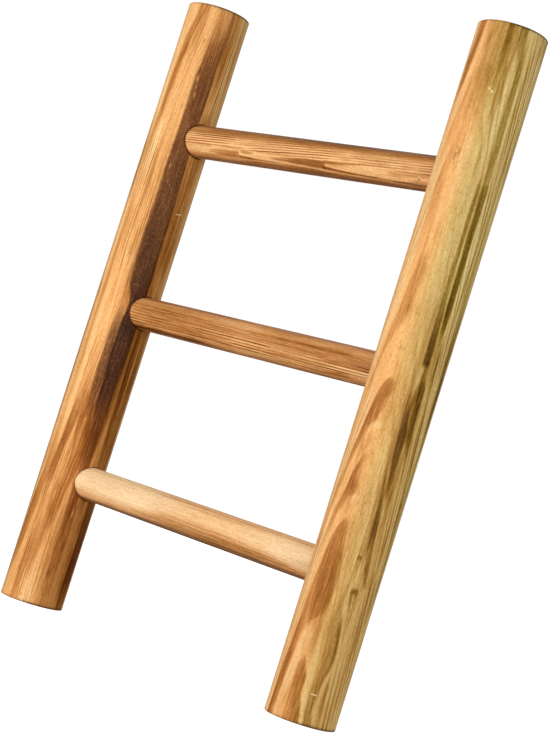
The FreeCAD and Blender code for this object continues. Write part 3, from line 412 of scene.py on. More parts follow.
    draw(ink, a, s, [
        # top left corner, and the pale strip that runs down beside it
        ("red", 4, 6, [(492, -19, 18, 0.64), (480, -20, 18, 0.68), (468, -23, 18, 0.74), (456, -26, 17, 0.72), (446, -29, 15, 0.60), (436, -33, 13, 0.34), (424, -38, 10, 0.10), (412, -41, 8, 0.0)]),
        ("light", 4, 4, [(492, -5, 7, 0.36), (470, -7, 8, 0.36), (460, -9, 8, 0.40), (450, -13, 10, 0.52), (430, -19, 11, 0.52), (410, -24, 10, 0.40), (390, -28, 9, 0.2), (375, -30, 8, 0.0)]),
        ("light", 5, 6, [(404, -16, 16, 0.0), (372, -22, 22, 0.74), (340, -20, 20, 0.74), (300, -18, 18, 0.60), (280, -18, 16, 0.64), (262, -26, 14, 0.64), (245, -28, 10, 0.4), (236, -8, 10, 0.30), (222, -10, 14, 0.44), (210, -13, 15, 0.70), (190, -19, 14, 0.70), (170, -25, 14, 0.70), (152, -29, 12, 0.40), (138, -20, 12, 0.42), (110, -23, 15, 0.50), (90, -22, 16, 0.50), (70, -20, 11, 0.50), (50, -25, 9, 0.36), (30, -27, 9, 0.50), (10, -28, 10, 0.56), (-2, -28, 10, 0.56)]),
        ("light", 3, 3, [(204, 9, 4, 0.3), (198, 6.5, 4, 0.36), (190, 1.5, 4, 0.34), (180, -4, 4.4, 0.34), (170, -8.5, 5, 0.40), (160, -12, 5, 0.40), (150, -14.5, 6, 0.40), (140, -17, 6, 0.40), (130, -20, 7, 0.36), (118, -21, 7, 0.0)]),
        ("light", 3, 3, [(152, 9, 4, 0.3), (146, 5, 4, 0.34), (140, 0.5, 4, 0.36), (130, -4.5, 5, 0.40), (120, -7, 5, 0.44), (110, -9.5, 5, 0.40), (100, -11.5, 5, 0.36), (88, -14, 5, 0.24), (76, -17, 4, 0.0)]),
        ("red", 10, 10, [(302, 40, 16, 0.0), (284, 40, 18, 0.14), (262, 40, 18, 0.12), (245, 40, 18, 0.10), (230, 34, 24, 0.22), (208, 38, 26, 0.20), (196, 41, 22, 0.08), (184, 42, 18, 0.0)]),
        ("red", 8, 8, [(200, 10, 16, 0.0), (193, 10, 18, 0.25), (188, 9, 18, 0.17), (184, 8, 16, 0.0)]),
        ("red", 8, 10, [(152, 12, 22, 0.0), (147, 10, 22, 0.20), (141, 8, 18, 0.12), (134, 2, 14, 0.10), (124, -4, 10, 0.0)]),
        ("red", 8, 10, [(184, 36, 14, 0.0), (170, 36, 16, 0.10), (130, 35, 16, 0.16), (110, 37, 18, 0.18), (90, 40, 20, 0.18), (70, 38, 18, 0.16), (52, 38, 14, 0.05), (40, 38, 10, 0.0)]),
        ("red", 8, 8, [(60, 10, 16, 0.0), (48, 11, 16, 0.10), (30, 6, 14, 0.06), (10, 4, 14, 0.14), (-2, 4, 14, 0.14)]),
        ("red", 10, 8, [(192, 75, 30, 0.0), (165, 75, 32, 0.10), (100, 74, 32, 0.11), (50, 76, 32, 0.13), (20, 76, 32, 0.07), (-2, 76, 30, 0.05)]),
        ("red", 4, 4, [(206, 55, 6, 0.0), (196, 54.5, 7, 0.24), (184, 56, 7, 0.26), (174, 58, 6, 0.0)]),
        ("dark", 2.4, 2.4, [(320, 69.5, 4, 0.0), (308, 70, 5, 0.16), (290, 70.5, 5, 0.19), (279, 71, 4, 0.08), (270, 71, 4, 0.0)]),
        ("dark", 4, 4, [(256, 110, 6, 0.0), (243, 110, 8, 0.12), (228, 110.5, 8, 0.12), (216, 111, 6, 0.0)]),
        ("light", 3, 3, [(346, 110, 6, 0.0), (330, 110, 8, 0.5), (308, 109.6, 8, 0.5), (288, 109, 7, 0.4), (274, 109, 6, 0.0)]),
        ("red", 4, 4, [(196, 70, 5, 0.0), (182, 70, 8, 0.40), (168, 70, 8, 0.42), (158, 70, 7, 0.36), (148, 70, 5, 0.0)]),
        # painted sheen: pale strips on the left edge near the foot and near the top
        ("light", 5, 5, [(90, -31, 8, 0.0), (70, -31, 10, 0.45), (56, -31, 10, 0.5), (40, -31, 8, 0.0)]),
        ("lift", 5, 5, [(90, -31, 8, 0.0), (70, -31, 10, 0.4), (56, -31, 10, 0.4), (40, -31, 8, 0.0)]),
        ("light", 5, 5, [(460, -31, 8, 0.0), (474, -31, 10, 0.45), (492, -31, 10, 0.5)]),
        ("lift", 5, 5, [(460, -31, 8, 0.0), (474, -31, 10, 0.4), (492, -31, 10, 0.4)]),
        ("red", 4, 4, [(210, 60, 4, 0.0), (200, 60, 8, 0.2), (190, 60, 4, 0.0)]),
        ("olive", 4, 4, [(212, 60, 4, 0.0), (202, 60, 8, 0.4), (190, 60, 4, 0.0)]),
        ("red", 4, 4, [(134, 65, 5, 0.0), (120, 65, 8, -0.22), (108, 65, 5, 0.0)]),
        ("dark", 4, 4, [(134, 65, 5, 0.0), (120, 65, 8, -0.08), (108, 65, 5, 0.0)]),
        ("red", 4, 4, [(222, 50, 5, 0.0), (210, 50, 8, -0.33), (200, 50, 5, 0.0)]),
        ("dark", 5, 8, [(478, 94, 20, 0.0), (462, 94, 26, -0.10), (436, 95, 28, -0.12), (414, 96, 24, -0.05), (400, 96, 18, 0.0)]),
        ("dark", 4, 4, [(376, 105, 6, 0.0), (355, 105, 9, -0.08), (335, 105, 9, -0.08), (320, 105, 6, 0.0)]),
        ("dark", 4, 4, [(254, 105, 5, 0.0), (240, 105, 9, -0.12), (228, 105, 5, 0.0)]),
        ("olive", 5, 8, [(312, 110, 14, 0.0), (284, 112, 20, -0.26), (250, 112, 24, -0.30), (216, 112, 20, -0.24), (190, 112, 14, 0.0)]),
        ("red", 4, 4, [(242, 65, 4, 0.0), (231, 65, 8, 0.28), (221, 65, 4, 0.0)]),
        ("dark", 4, 4, [(54, 95, 5, 0.0), (40, 95, 8, -0.11), (28, 95, 5, 0.0)]),
        ("red", 4, 4, [(54, 95, 5, 0.0), (40, 95, 8, -0.10), (28, 95, 5, 0.0)]),
        ("red", 5, 5, [(196, 5, 6, 0.0), (182, 5, 9, 0.32), (168, 5, 6, 0.0)]),
        # painted sheen: pale strips along both edges of the pole, with a little darkening on the left one
        ("light", 6, 7, [(492, -37, 18, 0.62), (240, -37, 18, 0.62), (0, -37, 18, 0.62)]),
        ("dark", 6, 6, [(492, -35, 10, 0.06), (240, -35, 10, 0.07), (0, -35, 10, 0.06)]),
        ("light", 5, 6, [(492, 120, 15, 0.5), (240, 120, 15, 0.6), (0, 120, 15, 0.6)]),
        ("dark", 3, 3, [(300, 110.5, 3, 0.0), (270, 110.5, 4.5, 0.12), (230, 110.5, 5, 0.16), (180, 110.5, 4.5, 0.12), (100, 110.5, 4.5, 0.14), (80, 110.5, 3, 0.0)]),
        ("red", 4, 4, [(31, 55, 4, 0.0), (20, 55, 7, 0.28), (10, 55, 4, 0.0)]),
        ("dark", 4, 4, [(131, -30, 4, 0.0), (120, -30, 7, 0.12), (110, -30, 4, 0.0)]),
        ("red", 5, 5, [(252, 25, 5, 0.0), (240, 25, 8, 0.26), (228, 25, 5, 0.0)]),
        ("red", 4, 4, [(131, 60, 4, 0.0), (120, 60, 7, 0.30), (110, 60, 4, 0.0)]),
        ("red", 4, 4, [(240, 75, 4, 0.0), (230, 75, 7, -0.26), (220, 75, 4, 0.0)]),
        ("red", 4, 4, [(301, 70, 4, 0.0), (290, 70, 7, 0.26), (280, 70, 4, 0.0)]),
        ("red", 4, 4, [(210, 70, 4, 0.0), (200, 70, 7, 0.30), (191, 70, 4, 0.0)]),
        ("light", 5, 5, [(22, 110, 8, 0.0), (10, 110, 10, 0.3), (0, 110, 10, 0.3)]),
        ("red", 4, 4, [(102, 85, 5, 0.0), (90, 85, 8, -0.28), (79, 85, 5, 0.0)]),
        ("red", 4, 4, [(381, 65, 5, 0.0), (370, 65, 8, 0.30), (359, 65, 5, 0.0)]),
        ("red", 4, 4, [(179, 11, 4, 0.0), (170, 11, 7, -0.28), (161, 11, 4, 0.0)]),
        ("light", 5, 5, [(122, -20, 6, 0.0), (110, -20, 9, 0.3), (99, -20, 6, 0.0)]),
        ("dark", 4, 4, [(252, 111, 5, 0.0), (240, 111, 8, 0.12), (229, 111, 5, 0.0)]),
        ("red", 4, 4, [(81, 60, 4, 0.0), (70, 60, 7, 0.26), (60, 60, 4, 0.0)]),
        ("dark", 4, 4, [(112, 111, 5, 0.0), (100, 111, 8, 0.12), (89, 111, 5, 0.0)]),
        ("light", 4, 4, [(482, 104, 8, 0.0), (466, 105, 10, 0.5), (440, 105, 10, 0.5), (416, 105, 10, 0.4), (392, 105, 8, 0.0)]),
        ("red", 4, 4, [(86, 50, 5, 0.0), (71, 50, 8, -0.22), (57, 50, 8, -0.22), (43, 50, 5, 0.0)]),
        ("dark", 4, 4, [(283, 65, 5, 0.0), (271, 65, 7, -0.10), (260, 65, 5, 0.0)]),
        ("dark", 4, 4, [(153, 85, 5, 0.0), (140, 85, 8, -0.07), (120, 85, 8, -0.07), (107, 85, 5, 0.0)]),
        ("red", 4, 4, [(153, 85, 5, 0.0), (140, 85, 8, -0.12), (120, 85, 8, -0.12), (107, 85, 5, 0.0)]),
        ("dark", 4, 4, [(192, 100, 5, 0.0), (180, 100, 8, -0.11), (168, 100, 5, 0.0)]),
        ("dark", 4, 4, [(391, 70, 5, 0.0), (380, 70, 8, -0.10), (369, 70, 5, 0.0)]),
        ("lift", 4, 4, [(492, 93, 12, 0.12), (476, 92, 12, 0.12), (462, 88, 10, 0.0)]),
        ("red", 4, 4, [(452, 5, 6, 0.0), (440, 5, 9, -0.12), (428, 5, 6, 0.0)]),
        ("red", 6, 6, [(296, 14, 10, 0.0), (282, 14, 12, 0.14), (268, 12, 10, 0.0)]),
        ("red", 6, 6, [(146, 25, 10, 0.0), (132, 25, 12, 0.14), (122, 25, 12, 0.0)]),
        ("red", 4, 4, [(122, 64, 8, 0.0), (110, 65, 9, 0.16), (92, 68, 8, 0.10), (72, 68, 7, 0.14), (58, 69, 6, 0.0)]),
        ("dark", 3, 3, [(328, 56, 6, 0.0), (310, 56, 7, 0.06), (290, 56, 7, 0.05), (270, 55, 6, 0.0)]),
        ("dark", 4, 4, [(304, 115, 10, 0.0), (280, 114, 12, 0.18), (230, 115, 12, 0.22), (205, 115, 12, 0.18), (185, 115, 10, 0.0)]),
        ("dark", 4, 4, [(492, 116, 10, 0.16), (476, 116, 10, 0.14), (460, 116, 8, 0.03), (400, 116, 8, 0.06), (360, 116, 8, 0.0)]),
        ("light", 4, 6, [(70, 10, 6, 0.0), (60, 9, 11, 0.26), (46, 6, 14, 0.52), (30, 2, 14, 0.54), (12, -2, 14, 0.40), (-2, -3, 15, 0.4)]),
        ("light", 2.4, 2.4, [(60, 36, 6, 0.0), (44, 36.5, 8, 0.16), (28, 37, 8, 0.24), (14, 38.5, 7, 0.2), (-2, 43, 6, 0.2)]),
        ("red", 5, 6, [(80, 25, 12, 0.0), (66, 25, 13, 0.30), (52, 25, 12, 0.34), (42, 26, 8, 0.1), (36, 26, 6, 0.0)]),
        ("red", 3, 4, [(196, -22, 3, 0.0), (176, -22, 5, 0.16), (150, -25, 6, 0.2), (118, -28, 7, 0.24), (80, -30, 6, 0.2), (40, -32, 6, 0.1), (10, -33, 6, 0.0)]),
        # brown top
        ("red", 10, 10, [(492, 17, 40, 0.34), (476, 18, 38, 0.34), (460, 20, 34, 0.30), (446, 20, 34, 0.34), (434, 18, 34, 0.30), (422, 18, 30, 0.14), (400, 12, 18, 0.10), (380, 4, 22, 0.08), (350, 0, 22, 0.08), (330, -2, 20, 0.04), (310, -2, 16, 0.0)]),
        ("red", 8, 8, [(492, 29, 14, 0.08), (470, 26, 16, 0.12), (450, 20, 16, 0.12), (430, 20, 14, 0.0)]),
        ("red", 5, 5, [(382, -6, 8, 0.0), (374, -5, 13, 0.12), (358, -4, 14, 0.14), (340, -3, 10, 0.0)]),
        ("red", 3, 3, [(492, 48, 12, 0.36), (474, 48, 11, 0.42), (458, 46, 12, 0.40), (442, 46, 11, 0.44), (428, 46, 9, 0.26), (414, 46, 8, 0.08), (396, 46, 5, 0.10), (376, 46, 4, 0.0)]),
        ("red", 3, 3, [(492, 37.5, 10, 0.46), (476, 38, 10, 0.44), (462, 37.5, 9, 0.30), (448, 37, 7, 0.08), (436, 36, 6, 0.0)]),
        ("dark", 3, 3, [(492, 37.5, 9, 0.22), (476, 38, 9, 0.20), (462, 37.5, 8, 0.12), (448, 37, 7, 0.04), (436, 36, 6, 0.0)]),
        ("dark", 3, 3, [(492, 57, 12, 0.22), (478, 58, 11, 0.14), (468, 60, 8, 0.08), (458, 62, 6, 0.0)]),
        ("red", 3, 3, [(492, 57, 12, 0.3), (478, 58, 11, 0.28), (468, 60, 8, 0.16), (458, 62, 6, 0.0)]),
        # dark olive streaks of the right face
        ("dark", 2.6, 2.6, [(484, 66, 7, 0.0), (472, 66, 8, 0.14), (460, 66.5, 9, 0.20), (446, 68, 10, 0.18), (430, 69, 11, 0.18), (404, 70, 11, 0.20), (382, 71, 11, 0.22), (377, 71.5, 12, 0.38), (350, 72.5, 11, 0.43), (320, 73.5, 10, 0.52), (296, 74, 9, 0.56), (282, 74, 8, 0.48), (270, 74, 5, 0.10), (264, 74, 4, 0.0)]),
        ("red", 3.4, 3.4, [(480, 66, 8, 0.0), (460, 66.5, 9, 0.2), (404, 70, 11, 0.1), (376, 71.5, 12, 0.12), (320, 73.5, 10, 0.14), (290, 74, 9, 0.34), (272, 74, 6, 0.1), (262, 74, 5, 0.0)]),
        # strands of the long flame beside it
        ("red", 4, 4, [(240, 63, 8, 0.0), (228, 63.5, 11, 0.78), (215, 65.5, 9, 0.92), (204, 67.6, 7, 0.60), (194, 69, 6, 0.16), (184, 70, 5, 0.0)]),
        ("red", 2.4, 3, [(280, 74, 4, 0.0), (266, 75, 7, 0.40), (250, 75, 8, 0.36), (236, 76, 7, 0.2), (214, 77, 7, 0.36), (196, 76, 8, 0.34), (176, 74, 6, 0.22), (158, 74, 7, 0.36), (140, 74, 6, 0.28), (124, 76, 6, 0.14), (110, 79, 5, 0.0)]),
        ("red", 2.4, 3, [(300, 54, 5, 0.0), (270, 54, 9, 0.38), (236, 53, 10, 0.40), (214, 51, 9, 0.40), (196, 51, 8, 0.26), (172, 53, 7, 0.44), (150, 54, 7, 0.38), (128, 55, 8, 0.38), (106, 53, 7, 0.28), (92, 49, 6, 0.26), (78, 46, 6, 0.26), (60, 45, 6, 0.2), (40, 44.5, 6, 0.22), (24, 44, 6, 0.24), (8, 44, 5, 0.1), (-2, 44, 5, 0.0)]),
        ("dark", 2, 2, [(400, 47, 4, 0.0), (388, 47, 5, 0.12), (376, 47.5, 4, 0.0)]),
        # fine straight lines towards the right edge
        ("dark", 2, 2, [(492, 97.5, 6, 0.12), (470, 97.5, 6, 0.08), (440, 97.5, 6, 0.12), (410, 98.5, 6, 0.17), (370, 100, 5, 0.16), (335, 101, 5, 0.16), (300, 101.5, 5, 0.18), (275, 102.5, 5, 0.18), (250, 104, 5, 0.18), (220, 106, 4.6, 0.12), (200, 108, 4, 0.0)]),
        ("dark", 2, 2, [(492, 110, 6, 0.22), (470, 111, 5, 0.04), (400, 110, 5, 0.1), (340, 109, 4, 0.04), (285, 108, 8, 0.22), (262, 108, 9, 0.26), (236, 110, 10, 0.26), (218, 111, 9, 0.26), (200, 112, 6, 0.14), (160, 112, 5, 0.1), (110, 112, 5, 0.1), (80, 113, 4, 0.04)]),
        ("dark", 2.4, 2.4, [(478, 84, 8, 0.0), (464, 84, 8.6, 0.13), (440, 84.4, 8.6, 0.14), (422, 84.8, 8.2, 0.11), (408, 85.2, 8, 0.04), (396, 85.6, 7, 0.0)]),
        ("dark", 2.4, 2.4, [(374, 91, 3, 0.0), (362, 91, 4.2, 0.15), (330, 91.5, 4.2, 0.19), (300, 91.5, 4, 0.15), (276, 91, 3, 0.06), (262, 91, 3, 0.0)]),
        ("red", 3, 3, [(118, 88, 3, 0.0), (96, 90, 5, 0.10), (70, 92, 6, 0.14), (40, 93, 6, 0.10), (10, 92, 6, 0.04), (-2, 92, 6, 0.0)]),
        # pale strips between them
        ("light", 3, 3, [(492, 79, 15, 0.44), (478, 78.5, 14, 0.44), (466, 77, 6, 0.52), (440, 77.3, 5, 0.66), (412, 78, 5, 0.66), (388, 78.5, 5, 0.64), (373, 79.5, 6.4, 0.70), (365, 83, 11, 0.86), (350, 83.5, 11.5, 0.90), (310, 84, 11.5, 0.88), (280, 86, 9, 0.44), (258, 88, 6, 0.0)]),
        ("light", 2.4, 2.4, [(492, 91, 4.4, 0.50), (470, 91, 4.8, 0.66), (430, 91.3, 4.6, 0.62), (400, 92, 4.4, 0.54), (375, 93, 3.6, 0.3), (355, 94, 3, 0.0)]),
        ("light", 2.4, 2.4, [(384, 95.5, 3, 0.0), (362, 96, 4, 0.34), (320, 96.6, 4, 0.38), (280, 97, 4, 0.34), (250, 98, 3, 0.0)]),
        ("light", 3, 3, [(474, 54, 4, 0.0), (460, 54.5, 6, 0.3), (440, 55.5, 9, 0.70), (420, 56, 10, 0.78), (400, 56, 9, 0.30), (385, 56, 6, 0.0)]),
        ("light", 3, 3, [(424, 22, 6, 0.0), (404, 23, 12, 0.26), (380, 22, 13, 0.22), (362, 20, 12, 0.16), (344, 14, 8, 0.1), (330, 11, 5, 0.0)]),
        ("light", 3, 3, [(484, 104, 6, 0.0), (464, 104, 9, 0.80), (440, 104.5, 9, 0.74), (420, 105, 9, 0.74), (395, 105, 8, 0.54), (370, 106, 8, 0.56), (340, 106, 6, 0.3), (310, 96, 6, 0.16), (280, 95, 6, 0.2), (230, 95, 6, 0.26), (195, 104, 6, 0.3), (172, 106, 6, 0.3), (150, 96, 6, 0.2), (112, 104, 6, 0.2), (40, 103, 7, 0.3), (-2, 103, 7, 0.26)]),
        ("light", 3, 4, [(110, 68, 4, 0.0), (90, 72, 7, 0.16), (70, 72.5, 10, 0.34), (50, 74, 12, 0.46), (30, 74, 12, 0.40), (14, 74, 8, 0.16), (2, 75, 6, 0.0)]),
        ("lift", 1.4, 1.4, [(470, 62, 2.4, 0.0), (450, 63, 3, 0.5), (425, 63.5, 3, 0.5), (400, 64, 2.6, 0.4), (380, 65.5, 2.4, 0.4), (345, 66.5, 2.4, 0.5), (322, 67.2, 2.4, 0.3), (306, 67.6, 2.4, 0.0)]),
        ("lift", 1.4, 1.6, [(165, 66.5, 2.4, 0.0), (150, 67.5, 3.4, 0.4), (132, 71, 3.4, 0.4), (115, 75, 3, 0.3), (100, 78, 2.4, 0.0)]),
        ("lift", 2.4, 2.4, [(80, 57.5, 3, 0.0), (68, 62.5, 3.4, 0.5), (52, 66.5, 3.4, 0.5), (40, 65, 3.4, 0.5), (28, 60, 3.4, 0.55), (16, 58, 3.4, 0.5), (8, 59.5, 3.4, 0.45), (-2, 65, 3, 0.4)]),
        ("lift", 3, 3, [(484, 104, 8, 0.0), (464, 104, 9, 0.8), (440, 104.5, 9, 0.8), (420, 105, 9, 0.8), (395, 105, 8, 0.6), (370, 106, 8, 0.5), (350, 106, 6, 0.0)]),
        # outer side and back, out of the first view
        ("red", 3, 6, [(492, 134, 10, 0.44), (400, 132, 10, 0.5), (300, 134, 9, 0.42), (200, 137, 11, 0.55), (90, 139, 10, 0.46), (-2, 140, 9, 0.4)]),
        ("dark", 4, 7, [(492, 156, 6, 0.1), (420, 155, 9, 0.26), (340, 157, 11, 0.36), (260, 159, 9, 0.26), (180, 161, 8, 0.2), (100, 163, 6, 0.1), (40, 164, 4, 0.0)]),
        ("red", 4, 8, [(492, 158, 12, 0.5), (400, 156, 15, 0.62), (300, 158, 16, 0.66), (180, 161, 15, 0.6), (80, 163, 13, 0.5), (-2, 165, 11, 0.4)]),
        ("red", 3, 7, [(492, 186, 8, 0.4), (380, 184, 10, 0.5), (260, 187, 11, 0.5), (140, 191, 12, 0.56), (40, 193, 9, 0.4), (-2, 194, 8, 0.4)]),
        ("red", 4, 8, [(330, 210, 3, 0.0), (300, 211, 11, 0.4), (230, 213, 20, 0.56), (150, 215, 24, 0.6), (70, 216, 25, 0.55), (-2, 217, 25, 0.5)]),
        ("lift", 3, 6, [(240, 213, 3, 0.0), (210, 213.5, 8, 0.5), (140, 215, 14, 0.6), (60, 216, 16, 0.6), (-2, 217, 17, 0.6)]),
        ("red", 3, 6, [(492, 241, 8, 0.4), (380, 239, 9, 0.46), (260, 242, 10, 0.5), (140, 246, 11, 0.5), (40, 248, 9, 0.4), (-2, 249, 8, 0.36)]),
        ("red", 3, 6, [(492, 270, 8, 0.36), (380, 267, 9, 0.44), (260, 270, 10, 0.5), (140, 273, 9, 0.44), (40, 276, 8, 0.36), (-2, 277, 8, 0.3)]),
        ("red", 3, 6, [(492, 298, 7, 0.34), (380, 295, 8, 0.4), (260, 297, 9, 0.44), (140, 300, 9, 0.4), (40, 303, 8, 0.34), (-2, 304, 8, 0.3)]),
        ("light", 3, 4, [(492, 256, 8, 0.34), (330, 254, 9, 0.4), (160, 259, 8, 0.34), (-2, 262, 8, 0.3)]),
    ])
    # brown lines that slant across the lower right edge
    for pts in (
        [(276, 81.5, 4, 0.0), (262, 82.5, 5, 0.22), (250, 83.3, 5, 0.28), (238, 85.2, 4.8, 0.24), (225, 88, 4.4, 0.18), (210, 91, 5, 0.25), (197, 93.6, 5, 0.31), (185, 96.4, 4.8, 0.25), (172, 99, 4.8, 0.25), (158, 101.5, 5.4, 0.36), (146, 103, 5.4, 0.34), (134, 105, 4.8, 0.2), (116, 108, 4, 0.08), (100, 110, 4, 0.0)],
        [(215, 77.5, 3.6, 0.0), (198, 79, 4.6, 0.12), (186, 80.5, 4.6, 0.17), (172, 82.5, 4.2, 0.11), (158, 86, 4.2, 0.09), (145, 89, 4.8, 0.19), (132, 90.5, 5, 0.25), (122, 91.5, 4.8, 0.19), (110, 93, 4.2, 0.1), (98, 95, 4, 0.0)],
        [(128, 79, 3, 0.0), (118, 81, 4.2, 0.06), (104, 84, 4.2, 0.06), (90, 86.3, 4.4, 0.07), (78, 88, 4.6, 0.13), (64, 90, 4.6, 0.13), (50, 91.5, 4.6, 0.12), (36, 93, 4, 0.0)],
        [(116, 86, 3, 0.0), (104, 88.5, 4.4, 0.11), (94, 90.7, 4.8, 0.15), (84, 92.8, 5, 0.21), (72, 95.2, 5, 0.22), (60, 97.4, 4.8, 0.2), (48, 99.5, 4, 0.08), (38, 101, 4, 0.0)],
        [(108, 98, 3.6, 0.0), (98, 99.4, 5.2, 0.26), (88, 101.5, 5.4, 0.34), (78, 103, 4.8, 0.2), (66, 104.5, 4, 0.0)],
    ):
        draw(ink, a, s, [("dark", 2, 2, [(z, c, w, 0.6 * k) for z, c, w, k in pts]), ("red", 2, 2, pts)])
    marks = []
    rng = np.random.default_rng(5)
    for s_lo, s_hi, a_lo, a_hi, n, k in (
        (378, 402, 6, 20, 9, 0.22), (326, 372, 22, 46, 12, 0.14), (284, 330, 40, 56, 8, 0.14),
        (246, 268, 4, 34, 10, 0.16), (184, 206, 22, 46, 9, 0.14), (136, 158, 22, 44, 12, 0.18), (270, 340, 90, 112, 8, 0.12),
        (40, 130, 34, 56, 8, 0.12),
    ):
        for _ in range(n):
            marks.append(("dark", rng.uniform(s_lo, s_hi), rng.uniform(a_lo, a_hi), rng.uniform(0.9, 1.9), rng.uniform(0.9, 1.6), k * rng.uniform(0.5, 1.2)))
    spots(ink, a0, s, marks + [
        ("light", 442.5, 30.5, 1.1, 2.2, 0.85), ("light", 441, 35.5, 1.1, 1.8, 0.9), ("lift", 442.5, 30.5, 1.1, 2.2, 0.85), ("lift", 441, 35.5, 1.1, 1.8, 0.9),
        ("dark", 447, 35, 1.4, 1.6, 0.16), ("dark", 395, 14.5, 3.4, 2.2, 0.18), ("dark", 391, 8, 1.8, 1.4, 0.2),
    ])
    olive = 0.92 * step(10, 46, a) + 0.12 * step(-10, 20, a)
    olive = olive * step(150, 112, a) * (a > -60) * (a < 170)
    face = through([-2, 60, 120, 180, 210, 240, 290, 330, 492], [0.70, 0.70, 0.74, 0.72, 0.64, 0.72, 0.94, 1.0, 1.0], s)
    side = through([-2, 60, 120, 180, 240, 290, 492], [0.70, 0.70, 0.78, 0.88, 0.96, 1.0, 1.0], s)
    side = side * (1 - 0.16 * step(88, 94, a) * step(114, 108, a) * step(365, 385, s))
    ink["olive"] += np.clip(olive, 0, 1) * (face + (side - face) * step(48, 66, a))
    ink["olive"] += 0.42 * step(415, 455, s) * step(-8, 8, a) * step(60, 30, a) * (a > -60) * (a < 170)
    ring = q / 27.0 + 0.5 * far(a0 + 80, s * 0.7)
    lines = 0.06 + (0.10 + 0.16 * step(260, 200, s)) * step(16, 32, -d) + 0.15 * step(14, 34, d) + 0.42 * step(56, 70, d) * step(104, 84, d) + 0.10 * near(a0 + 90, s * 0.5)
    return settle(ink), ring, lines, 0 * a


